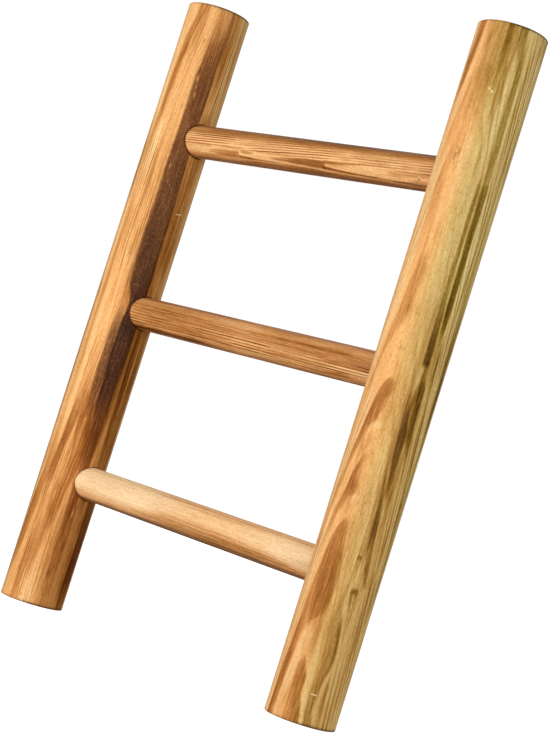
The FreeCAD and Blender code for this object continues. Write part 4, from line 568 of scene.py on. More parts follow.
def top_rung_figure(a, s, r):
    far = Wander(31, 8, 50.0)
    near = Wander(32, 30, 16.0)
    a0 = a
    a = a + 1.2 * far(a0, s + 200) + 0.6 * near(a0, s + 200)
    ink = blank(a)
    draw(ink, a, s, [
        # browner upper side
        ("red", 16, 30, [(-160, 28, 78, 0.62), (-120, 29, 78, 0.66), (-80, 29, 75, 0.74), (-40, 29, 73, 0.80), (0, 29, 72, 0.88), (80, 27, 72, 0.86), (160, 26, 71, 0.82)]),
        ("dark", 14, 14, [(-160, 24, 36, 0.08), (-60, 26, 36, 0.12), (40, 26, 36, 0.14), (160, 26, 36, 0.14)]),
        ("red", 10, 8, [(-160, 92, 46, 0.0), (-110, 92, 46, 0.0), (-60, 90, 44, 0.02), (0, 88, 40, 0.02), (60, 86, 40, 0.04), (120, 88, 44, 0.08), (160, 88, 44, 0.08)]),
        # flat figure, broken where the plane cut across it
        ("red", 4, 4, [(-130, 112, 8, 0.14), (-114, 112, 8, 0.20), (-99, 111, 8, 0.36), (-97.5, 111, 6, 0.0)]),
        ("red", 4, 4, [(-104, 127, 4, 0.0), (-94, 127, 14, 0.42), (-80, 126.5, 19, 0.62), (-69, 126, 20, 0.76), (-67, 126, 20, 0.72), (-66, 126, 18, 0.0)]),
        ("red", 3, 3, [(-64.5, 116.5, 6, 0.0), (-63, 116.5, 9, 0.5), (-54, 116.5, 9, 0.46), (-49, 115, 5, 0.0)]),
        ("red", 3, 3, [(-67, 134, 6, 0.0), (-65.5, 134, 9, 0.95), (-56, 135, 8, 1.0), (-46, 137.5, 6, 0.76), (-30, 139, 5, 0.46), (-12, 140, 5, 0.2), (2, 140, 5, 0.0)]),
        ("red", 4, 3.4, [(-34, 125, 3, 0.0), (-24, 124, 9, 0.42), (-12, 122, 15, 0.74), (0, 121.6, 20, 0.98), (12, 122.4, 25, 1.02), (22, 122.4, 26, 1.04), (24.5, 122.4, 25, 0.95), (25.6, 122.4, 24, 0.0)]),
        ("red", 3, 3, [(24, 112, 11, 0.72), (34, 111.5, 11, 0.68), (46, 110, 9, 0.50), (60, 107, 7, 0.36), (76, 103, 5, 0.2), (90, 100, 4, 0.0)]),
        ("red", 3, 3, [(22, 132, 6, 0.0), (25, 132, 10, 1.25), (36, 134, 8.4, 1.15), (50, 138, 7, 0.90), (66, 140.5, 6, 0.80), (84, 143.5, 6, 0.75), (104, 146.5, 7, 0.70), (130, 148.5, 8, 0.66)]),
        ("red", 4, 4, [(86, 118, 3, 0.0), (90, 116, 11, 0.28), (100, 115, 14, 0.42), (114, 114.5, 14, 0.42), (124, 112, 12, 0.40), (130, 111, 10, 0.4)]),
        ("red", 4, 4, [(-48, 110.5, 5, 0.0), (-38, 110, 6, 0.34), (-28, 108.5, 6, 0.34), (-15, 105.5, 6, 0.30), (-4, 103, 5, 0.1), (4, 101, 4, 0.0)]),
        ("red", 4, 4, [(-92, 106, 4, 0.0), (-80, 105.5, 6, 0.32), (-70, 105, 6, 0.32), (-60, 104, 5, 0.0)]),
        ("red", 8, 8, [(-72, 88, 10, 0.0), (-56, 88, 14, 0.24), (-44, 86, 14, 0.24), (-32, 85, 12, 0.1), (-20, 84, 10, 0.0)]),
        ("red", 5, 5, [(56, 99, 6, 0.0), (70, 98.5, 7, 0.24), (82, 98, 7, 0.22), (95, 97, 6, 0.0)]),
        ("red", 8, 8, [(46, 82, 14, 0.0), (62, 80, 18, 0.20), (80, 84, 16, 0.18), (96, 84, 14, 0.1), (108, 84, 12, 0.0)]),
        ("red", 4, 5, [(25.6, 120, 5, 0.3), (34, 121, 8, 0.28), (42, 123, 6, 0.1), (48, 123, 5, 0.0)]),
        ("lift", 3, 3, [(74, 139, 4, 0.0), (86, 139.5, 6, 0.85), (98, 140, 6, 0.85), (108, 140, 4, 0.0)]),
        ("red", 6, 6, [(-60, 55, 10, 0.0), (-30, 55, 16, 0.16), (10, 55, 16, 0.20), (70, 56, 18, 0.22), (110, 56, 16, 0.10), (130, 56, 14, 0.06)]),
        ("dark", 6, 6, [(-50, 33, 12, 0.0), (-20, 33, 18, 0.10), (60, 33, 18, 0.10), (130, 33, 18, 0.12)]),
        ("red", 4, 4, [(-18, 145, 5, 0.0), (-5, 145, 8, 0.30), (15, 145, 8, 0.28), (26, 145, 5, 0.0)]),
        ("red", 4, 4, [(76, 140, 4, 0.0), (86, 140, 7, -0.30), (96, 140, 8, -0.33), (106, 140, 4, 0.0)]),
        ("red", 4, 4, [(-66, 140, 4, 0.0), (-55, 140, 7, 0.30), (-46, 140, 4, 0.0)]),
        ("red", 4, 4, [(-36, 125, 4, 0.0), (-25, 125, 8, 0.28), (-15, 125, 5, 0.0)]),
        ("red", 4, 4, [(-14, 131, 4, 0.0), (-5, 131, 7, 0.28), (5, 131, 4, 0.0)]),
        ("red", 5, 5, [(84, 125, 5, 0.0), (95, 125, 10, 0.28), (104, 125, 5, 0.0)]),
        ("red", 4, 4, [(-54, 135, 4, 0.0), (-45, 135, 6, -0.30), (-36, 135, 4, 0.0)]),
        ("light", 6, 6, [(50, 86, 30, 0.0), (62, 86, 34, 0.24), (104, 84, 34, 0.24), (112, 84, 30, 0.0)]),
        # painted sheen: paler band along the upper side
        ("light", 8, 10, [(-160, 47, 28, 0.26), (0, 47, 28, 0.30), (160, 47, 28, 0.26)]),
        ("red", 4, 4, [(86, 113, 5, 0.0), (95, 113, 9, -0.26), (103, 113, 5, 0.0)]),
        ("red", 5, 5, [(-130, 50, 10, -0.22), (-112, 50, 10, -0.22), (-102, 50, 6, 0.0)]),
        ("red", 4, 4, [(16, 80, 4, 0.0), (26, 80, 7, 0.24), (36, 80, 7, 0.26), (45, 80, 4, 0.0)]),
        ("red", 4, 4, [(96, 95, 4, 0.0), (105, 95, 7, 0.24), (114, 95, 4, 0.0)]),
        ("red", 4, 4, [(-34, 100, 4, 0.0), (-25, 100, 7, -0.26), (-16, 100, 4, 0.0)]),
        ("red", 4, 4, [(-130, 148, 8, 0.2), (-115, 148.5, 8, 0.28), (-95, 148.5, 8, 0.28), (-84, 148, 6, 0.0)]),
        ("lift", 5, 5, [(-118, 97, 10, 0.0), (-106, 98, 18, 0.34), (-94, 96, 18, 0.34), (-84, 95, 10, 0.0)]),
        ("lift", 4, 4, [(-34, 100, 4, 0.0), (-25, 100, 7, 0.3), (-16, 100, 4, 0.0)]),
        ("red", 4, 4, [(-86, 125, 5, 0.0), (-75, 125, 8, 0.24), (-67, 125, 6, 0.1), (-66, 125, 5, 0.0)]),
        ("red", 4, 4, [(106, 135, 5, 0.0), (115, 135, 8, 0.26), (130, 135, 8, 0.26)]),
        ("red", 4, 4, [(36, 95, 4, 0.0), (45, 95, 7, 0.26), (54, 95, 4, 0.0)]),
        ("red", 3, 3, [(-130, 95, 7, 0.28), (-112, 95, 7, 0.28), (-100, 94, 5, 0.12), (-92, 93, 4, 0.0)]),
        ("dark", 3, 4, [(90, 148, 4, 0.0), (93, 147.5, 7, 0.14), (104, 146, 9, 0.18), (112, 143.5, 11, 0.18), (130, 143, 11, 0.18)]),
        ("red", 4, 5, [(-130, 142, 8, 0.16), (-110, 142, 10, 0.16), (-90, 141, 12, 0.26), (-74, 140, 12, 0.50), (-60, 144, 8, 0.3), (-40, 146, 8, 0.3), (-10, 146, 10, 0.4), (20, 148, 9, 0.3), (40, 150, 6, 0.0)]),
        ("dark", 4, 3.4, [(-16, 124, 8, 0.0), (-4, 124, 14, 0.07), (10, 124, 16, 0.10), (20, 123, 16, 0.10), (24.5, 122, 14, 0.06), (25.6, 122, 12, 0.0)]),
        ("dark", 2.6, 2.6, [(-67, 135, 6, 0.0), (-64, 135, 7, 0.10), (-48, 137, 6, 0.10), (-20, 139.5, 5, 0.08), (10, 141, 6, 0.12), (22, 141, 5, 0.0)]),
        ("dark", 2.6, 2.6, [(23, 132, 6, 0.0), (26, 132.5, 8, 0.14), (40, 135.5, 7, 0.12), (60, 140, 6, 0.10), (100, 146, 6, 0.06), (130, 148, 6, 0.06)]),
        ("red", 5, 6, [(-130, 150, 10, 0.0), (-60, 149, 10, 0.12), (0, 148, 12, 0.24), (40, 148, 12, 0.30), (80, 150, 12, 0.24), (110, 150, 12, 0.20), (130, 150, 12, 0.1)]),
        # underside
        ("red", 8, 12, [(-160, 168, 30, 0.32), (-100, 164, 32, 0.36), (-60, 162, 30, 0.44), (0, 160, 32, 0.50), (60, 162, 28, 0.52), (100, 166, 26, 0.50), (160, 164, 28, 0.50)]),
        ("dark", 6, 10, [(-160, 172, 18, 0.14), (-60, 167, 24, 0.22), (10, 165, 28, 0.24), (90, 167, 26, 0.24), (160, 168, 24, 0.24)]),
        ("light", 6, 6, [(-130, 104, 10, 0.10), (-112, 122, 20, 0.24), (-90, 112, 12, 0.34), (-60, 124, 12, 0.34), (-44, 118, 12, 0.30), (-30, 112, 8, 0.14), (40, 122, 8, 0.0), (52, 121, 12, 0.20), (74, 122, 22, 0.28), (92, 126, 14, 0.2), (112, 105, 9, 0.50), (130, 104, 8, 0.4)]),
        # back
        ("red", 8, 14, [(-160, 215, 22, 0.4), (-60, 212, 26, 0.5), (40, 216, 26, 0.55), (160, 220, 24, 0.5)]),
        ("red", 5, 8, [(-160, 254, 9, 0.4), (-40, 250, 10, 0.5), (60, 254, 11, 0.5), (160, 259, 10, 0.45)]),
        ("red", 5, 8, [(-160, 290, 10, 0.4), (-40, 294, 12, 0.5), (60, 291, 11, 0.46), (160, 288, 10, 0.4)]),
    ])
    spots(ink, a0, s, [("dark", 117, 126, 1.6, 4.0, 0.34), ("light", 117.5, 120, 2.2, 4.0, 0.6), ("lift", 117.5, 120, 2.2, 4.0, 0.7)]
          + [("red", 27.5 + 3.1 * k, 112.5 - 0.8 * k, 0.9, 6.0, 0.36 - 0.03 * k) for k in range(6)]
          + [("red", 88.5 + 3.3 * k, 117.0, 0.9, 6.0, 0.2) for k in range(4)])
    # fine lines that climb slowly to the right
    climb = through([-130, -92, -60, -20, 20, 60, 100, 130], [118, 114.5, 111, 102.5, 95, 90, 86, 83], s)
    ring = (a - climb) / 8.4 + 0.88
    lines = (0.35 * step(50, 66, a) + 0.75 * step(66, 76, a)) * step(114, 107, a)
    lines = lines * through([-130, -60, -30, 40, 60, 102, 112, 130], [1.5, 1.5, 1.0, 1.0, 2.3, 2.3, 0.6, 0.6], s) + 0.12 + 0.5 * step(150, 170, a)
    return settle(ink), ring, lines, 0 * a


def middle_rung_figure(a, s, r):
    far = Wander(41, 8, 60.0)
    near = Wander(42, 30, 20.0)
    a0 = a
    a = a + 1.2 * far(a0, s + 200) + 0.5 * near(a0, s + 200)
    ink = blank(a)
    ink["red"] += through([-160, -110, -60, -25, 0, 30, 60, 160], [0.60, 0.62, 0.62, 0.48, 0.28, 0.42, 0.46, 0.46], s)
    draw(ink, a, s, [
        ("red", 10, 10, [(-160, 60, 50, -0.21), (-60, 60, 50, -0.19), (-20, 60, 42, -0.14), (10, 59, 40, -0.08), (30, 56, 30, 0.0)]),
        ("red", 8, 8, [(-60, 115, 46, 0.0), (-10, 115, 46, -0.16), (30, 115, 46, -0.06), (60, 115, 46, -0.12), (130, 115, 46, -0.14)]),
        ("lift", 6, 6, [(102, 58, 24, 0.0), (112, 58, 28, 0.5), (130, 58, 28, 0.5)]),
        ("lift", 5, 5, [(104, 138, 14, 0.0), (113, 138, 18, 0.7), (130, 138, 18, 0.7)]),
        ("red", 5, 5, [(80, 105, 10, 0.0), (92, 105, 14, 0.26), (105, 105, 14, 0.26), (118, 106, 14, 0.2), (130, 106, 12, 0.2)]),
        ("red", 6, 6, [(-160, 112, 34, -0.3), (-112, 112, 34, -0.3), (-101, 112, 30, -0.1), (-92, 112, 30, 0.0)]),
        ("red", 4, 4, [(-104, 126, 5, 0.0), (-80, 127, 6, 0.24), (-62, 127, 6, 0.34), (-46, 125.5, 6, 0.40), (-30, 129, 6, 0.46), (-14, 131.5, 6, 0.40), (-2, 134, 5, 0.1), (6, 135, 5, 0.0)]),
        ("red", 5, 5, [(-50, 70, 10, 0.0), (-28, 70, 12, -0.24), (-10, 70, 10, -0.08), (0, 70, 8, 0.0)]),
        ("red", 5, 5, [(-44, 100, 8, 0.0), (-26, 100, 10, -0.26), (-10, 100, 8, -0.1), (0, 100, 8, 0.0)]),
        ("red", 5, 5, [(20, 125, 8, 0.0), (34, 125, 10, 0.26), (48, 125, 8, 0.1), (60, 125, 8, 0.0)]),
        ("red", 4, 4, [(92, 130, 6, 0.0), (104, 130, 8, 0.26), (112, 130, 6, 0.0)]),
        ("red", 4, 4, [(-106, 136, 8, 0.0), (-90, 136, 10, -0.24), (-76, 136, 8, -0.1), (-66, 136, 6, 0.0)]),
        ("red", 5, 5, [(-62, 136, 6, 0.0), (-46, 136, 8, -0.34), (-34, 136, 8, -0.34), (-22, 136, 6, 0.0)]),
        ("red", 4, 4, [(12, 130, 5, 0.0), (25, 130, 8, -0.34), (36, 130, 5, 0.0)]),
        ("red", 4, 4, [(-108, 90, 5, 0.0), (-95, 90, 8, -0.33), (-84, 90, 5, 0.0)]),
        ("red", 4, 4, [(-108, 140, 5, 0.0), (-95, 140, 8, 0.33), (-84, 140, 5, 0.0)]),
        ("red", 4, 4, [(-96, 115, 5, 0.0), (-85, 115, 8, -0.30), (-74, 115, 5, 0.0)]),
        ("red", 4, 4, [(64, 140, 5, 0.0), (75, 140, 8, -0.25), (86, 140, 8, -0.25), (96, 140, 5, 0.0)]),
        ("olive", 4, 4, [(62, 140, 6, 0.0), (75, 140, 8, 0.25), (86, 140, 8, 0.2), (96, 140, 5, 0.0)]),
        ("light", 4, 4, [(2, 145, 5, 0.0), (15, 145, 8, 0.3), (26, 145, 5, 0.0)]),
        ("red", 4, 4, [(-66, 121, 6, 0.0), (-56, 121.5, 9, -0.36), (-42, 120, 8, -0.34), (-32, 120, 5, 0.0)]),
        ("red", 4, 4, [(-14, 130, 4, 0.0), (-5, 130, 7, -0.34), (5, 130, 4, 0.0)]),
        ("red", 5, 5, [(-106, 118, 5, 0.0), (-94, 118, 9, -0.26), (-66, 116, 8, -0.26), (-56, 115, 5, 0.0)]),
        ("red", 4, 4, [(-130, 120, 8, -0.34), (-114, 120, 8, -0.34), (-105, 120, 5, 0.0)]),
        ("red", 5, 5, [(14, 136, 6, 0.0), (28, 136, 9, -0.26), (70, 136, 8, -0.26), (96, 135, 6, 0.0)]),
        ("red", 2.4, 2.4, [(60, 117.4, 3.4, 0.2), (90, 117.9, 3.6, 0.5), (105, 118.2, 3.6, 0.5), (118, 118.3, 3, 0.3), (126, 118.4, 3, 0.0)]),
        ("red", 4, 4, [(-100, 135, 5, 0.0), (-86, 135, 8, -0.36), (-66, 135, 8, -0.40), (-56, 135, 5, 0.0)]),
        ("red", 4, 4, [(86, 100, 5, 0.0), (96, 100, 8, 0.26), (106, 100, 5, 0.0)]),
        ("red", 4, 4, [(6, 130, 4, 0.0), (15, 130, 7, -0.3), (24, 130, 4, 0.0)]),
        ("red", 4, 4, [(-66, 145, 5, 0.0), (-55, 145, 8, 0.3), (-45, 145, 5, 0.0)]),
        ("red", 4, 4, [(-76, 85, 5, 0.0), (-65, 85, 8, 0.28), (-55, 85, 5, 0.0)]),
        ("light", 2.4, 2.4, [(55, 112.4, 4, 0.0), (84, 113.2, 4.6, 0.40), (104, 114, 5, 0.85), (130, 114.4, 5, 0.85)]),
        ("lift", 2.4, 2.4, [(55, 112.4, 4, 0.0), (84, 113.2, 4.6, 0.40), (104, 114, 5, 0.80), (130, 114.4, 5, 0.80)]),
        ("light", 2.4, 2.4, [(50, 121.8, 4, 0.0), (80, 122.6, 4.6, 0.40), (104, 123.3, 5, 0.85), (130, 123.6, 5, 0.85)]),
        ("lift", 2.4, 2.4, [(50, 121.8, 4, 0.0), (80, 122.6, 4.6, 0.40), (104, 123.3, 5, 0.80), (130, 123.6, 5, 0.80)]),
        ("dark", 2.4, 2.4, [(88, 128, 3, 0.0), (98, 128, 4.4, 0.12), (112, 128.4, 4, 0.10), (122, 128.6, 3, 0.0)]),
        ("red", 6, 6, [(26, 72, 14, 0.0), (46, 72, 16, 0.12), (90, 72, 16, 0.10), (130, 72, 16, 0.0)]),
        ("red", 14, 16, [(-160, 80, 40, 0.12), (-60, 84, 44, 0.14), (0, 82, 40, 0.12), (60, 82, 44, 0.18), (160, 82, 44, 0.16)]),
        ("red", 2.4, 3, [(-128, 66, 7, 0.12), (-70, 68, 7, 0.16), (0, 70, 5, 0.14), (40, 68, 7, 0.36), (80, 69, 7, 0.36), (130, 67, 7, 0.20)]),
        ("red", 2, 2.4, [(-128, 76, 6, 0.30), (-60, 77, 6, 0.26), (-10, 80, 4, 0.10), (40, 80, 4, 0.14), (130, 82, 4, 0.1)]),
        ("red", 2, 2.4, [(-100, 88, 4, 0.06), (-50, 88, 6, 0.20), (0, 88, 5, 0.14), (35, 88, 6, 0.22), (80, 90, 6, 0.16), (130, 95, 6, 0.20)]),
        ("red", 4, 5, [(-128, 112, 10, 0.12), (-90, 116, 14, 0.22), (-50, 117, 12, 0.24), (-30, 116, 8, 0.06), (10, 116, 6, 0.0)]),
        ("red", 2.4, 3, [(-20, 138, 3, 0.0), (30, 142, 4, 0.06), (60, 144, 6, 0.2), (90, 144, 8, 0.44), (110, 142, 8, 0.36), (130, 142, 8, 0.36)]),
        ("light", 2, 2.4, [(-128, 92, 6, 0.5), (-118, 92, 6, 0.4), (-104, 93, 4, 0.1), (-70, 93, 3.4, 0.0), (-20, 103, 6, 0.14), (10, 104, 9, 0.34), (50, 106, 6, 0.14), (90, 118, 5, 0.10), (130, 118, 8, 0.2)]),
        ("light", 6, 8, [(-50, 50, 10, 0.0), (-20, 52, 14, 0.24), (10, 52, 14, 0.22), (50, 48, 12, 0.20), (100, 47, 12, 0.14), (130, 47, 12, 0.14)]),
        ("light", 6, 8, [(-8, 136, 10, 0.0), (4, 140, 14, 0.3), (20, 143, 15, 0.5), (60, 130, 10, 0.10), (100, 126, 12, 0.20), (130, 126, 14, 0.24)]),
        ("red", 6, 10, [(-160, 153, 16, 0.74), (-110, 151, 16, 0.74), (-60, 153, 16, 0.62), (-34, 162, 14, 0.2), (0, 172, 10, 0.2), (70, 168, 12, 0.2), (160, 170, 12, 0.2)]),
        ("dark", 6, 10, [(-160, 154, 16, 0.22), (-110, 152, 16, 0.22), (-60, 155, 16, 0.18), (-30, 164, 12, 0.06), (0, 174, 10, 0.04), (70, 170, 12, 0.08), (160, 172, 12, 0.06)]),
        ("red", 8, 8, [(-160, 22, 30, 0.26), (0, 22, 28, 0.26), (160, 20, 28, 0.22)]),
        ("red", 6, 9, [(-160, 225, 18, 0.3), (-40, 222, 20, 0.4), (60, 226, 19, 0.4), (160, 230, 18, 0.3)]),
        ("red", 5, 8, [(-160, 285, 12, 0.3), (-40, 281, 14, 0.4), (60, 284, 13, 0.4), (160, 288, 12, 0.3)]),
    ])
    turn = a - through([-160, -60, 7, 30, 120, 160], [97.6, 101.7, 105, 106.6, 109.4, 110.6], s)
    ring = np.maximum(turn, -10) / 9.4 + np.minimum(turn + 10, 0) / 7.6 + 0.88 + 0.06 * far(a0 + 40, s + 200)
    lines = 0.12 + 0.50 * step(62, 76, a) * (1 - 0.7 * step(130, 138, a) * step(180, 170, a)) * through([-160, 92, 108, 160], [1, 1, 0.2, 0.2], s)
    lines = lines + through([-160, -110, -60, -20, 0, 40, 60, 100, 130], [0.35, 0.45, 0.7, 0.7, 0.75, 0.95, 1.4, 1.6, 1.6], s) * step(93, 101, a) * step(137, 131, a) + 0.2 * near(a0 + 90, (s + 200) * 0.4)
    return settle(ink), ring, lines, 0 * a


def bottom_rung_figure(a, s, r):
    far = Wander(51, 8, 60.0)
    near = Wander(52, 30, 20.0)
    a0 = a
    a = a + 1.8 * far(a0, s + 200) + 0.8 * near(a0, s + 200)
    ink = blank(a)
    draw(ink, a, s, [
        ("light", 36, 36, [(-160, 58, 112, 0.84), (-110, 58, 114, 0.84), (-70, 60, 112, 0.90), (-45, 62, 98, 0.86), (-20, 64, 68, 0.60), (10, 64, 58, 0.38), (40, 66, 60, 0.34), (70, 70, 66, 0.44), (95, 75, 76, 0.78), (120, 78, 80, 0.95), (160, 78, 80, 0.95)]),
        # the browner lower side, climbing from the left
        ("red", 30, 20, [(-160, 165, 40, 0.22), (-100, 162, 46, 0.22), (-70, 160, 50, 0.24), (-45, 154, 68, 0.28), (-20, 149, 84, 0.34), (10, 149, 86, 0.36), (40, 148, 86, 0.42), (75, 150, 82, 0.42), (100, 154, 70, 0.42), (130, 153, 64, 0.42), (160, 153, 64, 0.42)]),
        ("red", 14, 16, [(-160, 168, 36, 0.20), (-60, 165, 42, 0.24), (0, 160, 46, 0.26), (160, 160, 46, 0.26)]),
        ("red", 8, 8, [(-92, 143, 10, 0.0), (-70, 143, 14, -0.18), (-45, 143, 14, -0.24), (-25, 143, 12, -0.1), (-10, 143, 10, 0.0)]),
        ("red", 6, 6, [(18, 105, 10, 0.0), (34, 105, 12, 0.2), (46, 105, 10, 0.06), (56, 105, 8, 0.0)]),
        ("red", 8, 8, [(8, 134, 16, 0.0), (28, 134, 20, 0.2), (42, 132, 18, 0.12), (56, 132, 14, 0.0)]),
        ("red", 8, 8, [(70, 140, 14, 0.0), (85, 140, 16, -0.2), (105, 139, 18, -0.24), (130, 139, 18, -0.24)]),
        ("red", 6, 6, [(104, 121, 8, 0.0), (114, 121, 12, -0.2), (130, 121, 12, -0.2)]),
        ("red", 2.4, 3, [(-50, 96, 3, 0.0), (-25, 97, 6, 0.08), (0, 98, 6, 0.14), (30, 98, 7, 0.20), (60, 103, 6, 0.14), (100, 107, 5, 0.12), (130, 108, 4, 0.08)]),
        ("red", 2.4, 3, [(-30, 111, 4, 0.0), (-5, 112, 6, 0.10), (40, 114, 6, 0.16), (80, 116, 6, 0.18), (130, 119, 6, 0.12)]),
        ("red", 2.4, 3, [(-100, 128, 4, 0.04), (-20, 125, 6, 0.10), (40, 126, 6, 0.16), (80, 127, 6, 0.16), (130, 130, 6, 0.14)]),
        ("red", 2, 3, [(-60, 87, 3, 0.0), (-20, 87, 5, 0.10), (10, 86, 5, 0.12), (40, 87, 4, 0.06), (60, 88, 3, 0.0)]),
        ("red", 3, 4, [(-128, 34, 5, 0.06), (-60, 33, 7, 0.16), (-20, 32, 9, 0.34), (10, 31, 9, 0.30), (40, 33, 7, 0.24), (70, 34, 8, 0.36), (130, 35, 7, 0.2)]),
        ("red", 3, 4, [(-20, 47, 4, 0.0), (10, 47, 8, 0.16), (40, 47, 8, 0.12), (80, 46, 6, 0.06), (130, 46, 5, 0.04)]),
        ("dark", 10, 14, [(-160, 164, 38, 0.16), (-60, 162, 40, 0.22), (20, 160, 40, 0.22), (160, 163, 38, 0.18)]),
        ("red", 8, 12, [(-160, 215, 20, 0.2), (0, 212, 24, 0.26), (160, 216, 22, 0.24)]),
        ("red", 5, 8, [(-160, 262, 12, 0.16), (0, 258, 14, 0.24), (160, 264, 12, 0.2)]),
        ("red", 5, 8, [(-160, 305, 12, 0.16), (0, 309, 13, 0.22), (160, 304, 12, 0.18)]),
        ("light", 30, 30, [(-160, 260, 110, 0.5), (0, 258, 110, 0.4), (160, 262, 110, 0.5)]),
    ])
    ring = a / 5.2 + 0.004 * s + 0.3 * far(a0 + 40, s + 200)
    lines = 0.08 + 0.46 * step(84, 104, a) * step(140, 126, a) * step(-60, 20, s) + 0.04 * near(a0 + 90, (s + 200) * 0.4)
    return settle(ink), ring, lines, 0 * a


# ---------------------------------------------------------------- meshes
def turned_profile(radius, s0, s1, arris, pitch, cap_rings):
    """(r, s) down the middle of one end, out over its eased edge, along and back."""
    t = np.linspace(0, math.pi / 2, 5)
    inner = radius - arris
    cap = np.linspace(0, inner, cap_rings + 1)[1:-1]
    rows = [(r, s0) for r in cap]
    rows += [(inner + arris * math.sin(x), s0 + arris * (1 - math.cos(x))) for x in t]
    n = int(round((s1 - s0 - 2 * arris) / pitch / 2)) * 2
    rows += [(radius, s) for s in np.linspace(s0 + arris, s1 - arris, n + 1)[1:-1]]
    rows += [(inner + arris * math.cos(x), s1 - arris * (1 - math.sin(x))) for x in t]
    rows += [(r, s1) for r in cap[::-1]]
    return np.array(rows)


def turned(name, rows, around, place):
    """A closed turned solid: rows of a profile, around steps of the angle."""
    ang = np.arange(around) * 360.0 / around
    r, s = rows[:, 0], rows[:, 1]
    a_grid, r_grid = np.meshgrid(ang, r)
    s_grid = np.repeat(s[:, None], around, 1)
    co = place(a_grid.ravel(), r_grid.ravel(), s_grid.ravel())
    ends = place(np.zeros(2), np.zeros(2), np.array([s[0], s[-1]]))
    co = np.vstack([co, ends])
    n = len(rows)
    i = np.arange(around)
    j = (i + 1) % around
    faces = []
    for k in range(n - 1):
        faces.append(np.stack([k * around + i, k * around + j, (k + 1) * around + j, (k + 1) * around + i], 1))
    quads = np.vstack(faces)
    low = np.stack([np.full(around, n * around), j, i], 1)
    top = np.stack([np.full(around, n * around + 1), (n - 1) * around + i, (n - 1) * around + j], 1)
    me = bpy.data.meshes.new(name)
    me.from_pydata((co * MM).tolist(), [], quads.tolist() + low.tolist() + top.tolist())
    me.validate()
    me.update()
    ob = bpy.data.objects.new(name, me)
    bpy.context.scene.collection.objects.link(ob)
    return ob


def rail_place(x0):
    def place(a, r, s):
        t = np.radians(a)
        return np.stack([x0 + r * np.sin(t), -r * np.cos(t), s], 1)
    return place


def rung_place(z0):
    def place(a, r, s):
        t = np.radians(a)
        return np.stack([s, -r * np.sin(t), z0 + r * np.cos(t)], 1)
    return place


def cutter(profile, around, base, axis):
    """A turned cutter whose profile (r, t) runs along axis from base."""
    axis = np.array(axis, float)
    side = np.array([0.0, 0.0, 1.0])
    up = np.cross(axis, side)
    base = np.array(base, float)
    co = []
    for r, t in profile:
        for k in range(around):
            w = 2 * math.pi * k / around
            co.append(base + axis * t + r * (math.cos(w) * side + math.sin(w) * up))
    n = len(profile)
    faces = [[k * around + i for i in range(around)][::-1] for k in (0,)]
    for k in range(n - 1):
        for i in range(around):
            j = (i + 1) % around
            faces.append([k * around + i, k * around + j, (k + 1) * around + j, (k + 1) * around + i])
    faces.append([(n - 1) * around + i for i in range(around)])
    me = bpy.data.meshes.new("cutter")
    me.from_pydata([tuple(c * MM) for c in co], [], faces)
    me.update()
    ob = bpy.data.objects.new("cutter", me)
    bpy.context.scene.collection.objects.link(ob)
    return ob


def cut(ob, cutters):
    for c in cutters:
        m = ob.modifiers.new("cut", "BOOLEAN")
        m.operation = "DIFFERENCE"
        m.solver = "MANIFOLD"
        m.object = c
    dg = bpy.context.evaluated_depsgraph_get()
    made = bpy.data.meshes.new_from_object(ob.evaluated_get(dg))
    ob.modifiers.clear()
    old = ob.data
    ob.data = made
    made.name = ob.name
    bpy.data.meshes.remove(old)
    for c in cutters:
        me = c.data
        bpy.data.objects.remove(c)
        bpy.data.meshes.remove(me)


def numbers(items, name, width, kind=np.float32):
    out = np.empty(len(items) * width, kind)
    items.foreach_get(name, out)
    return out.reshape(-1, width) if width > 1 else out


def put(me, name, values, kind="FLOAT"):
    at = me.attributes.new(name, kind, "POINT")
    if kind == "FLOAT_VECTOR":
        at.data.foreach_set("vector", np.asarray(values, np.float32).ravel())
    else:
        at.data.foreach_set("value", np.asarray(values, np.float32))


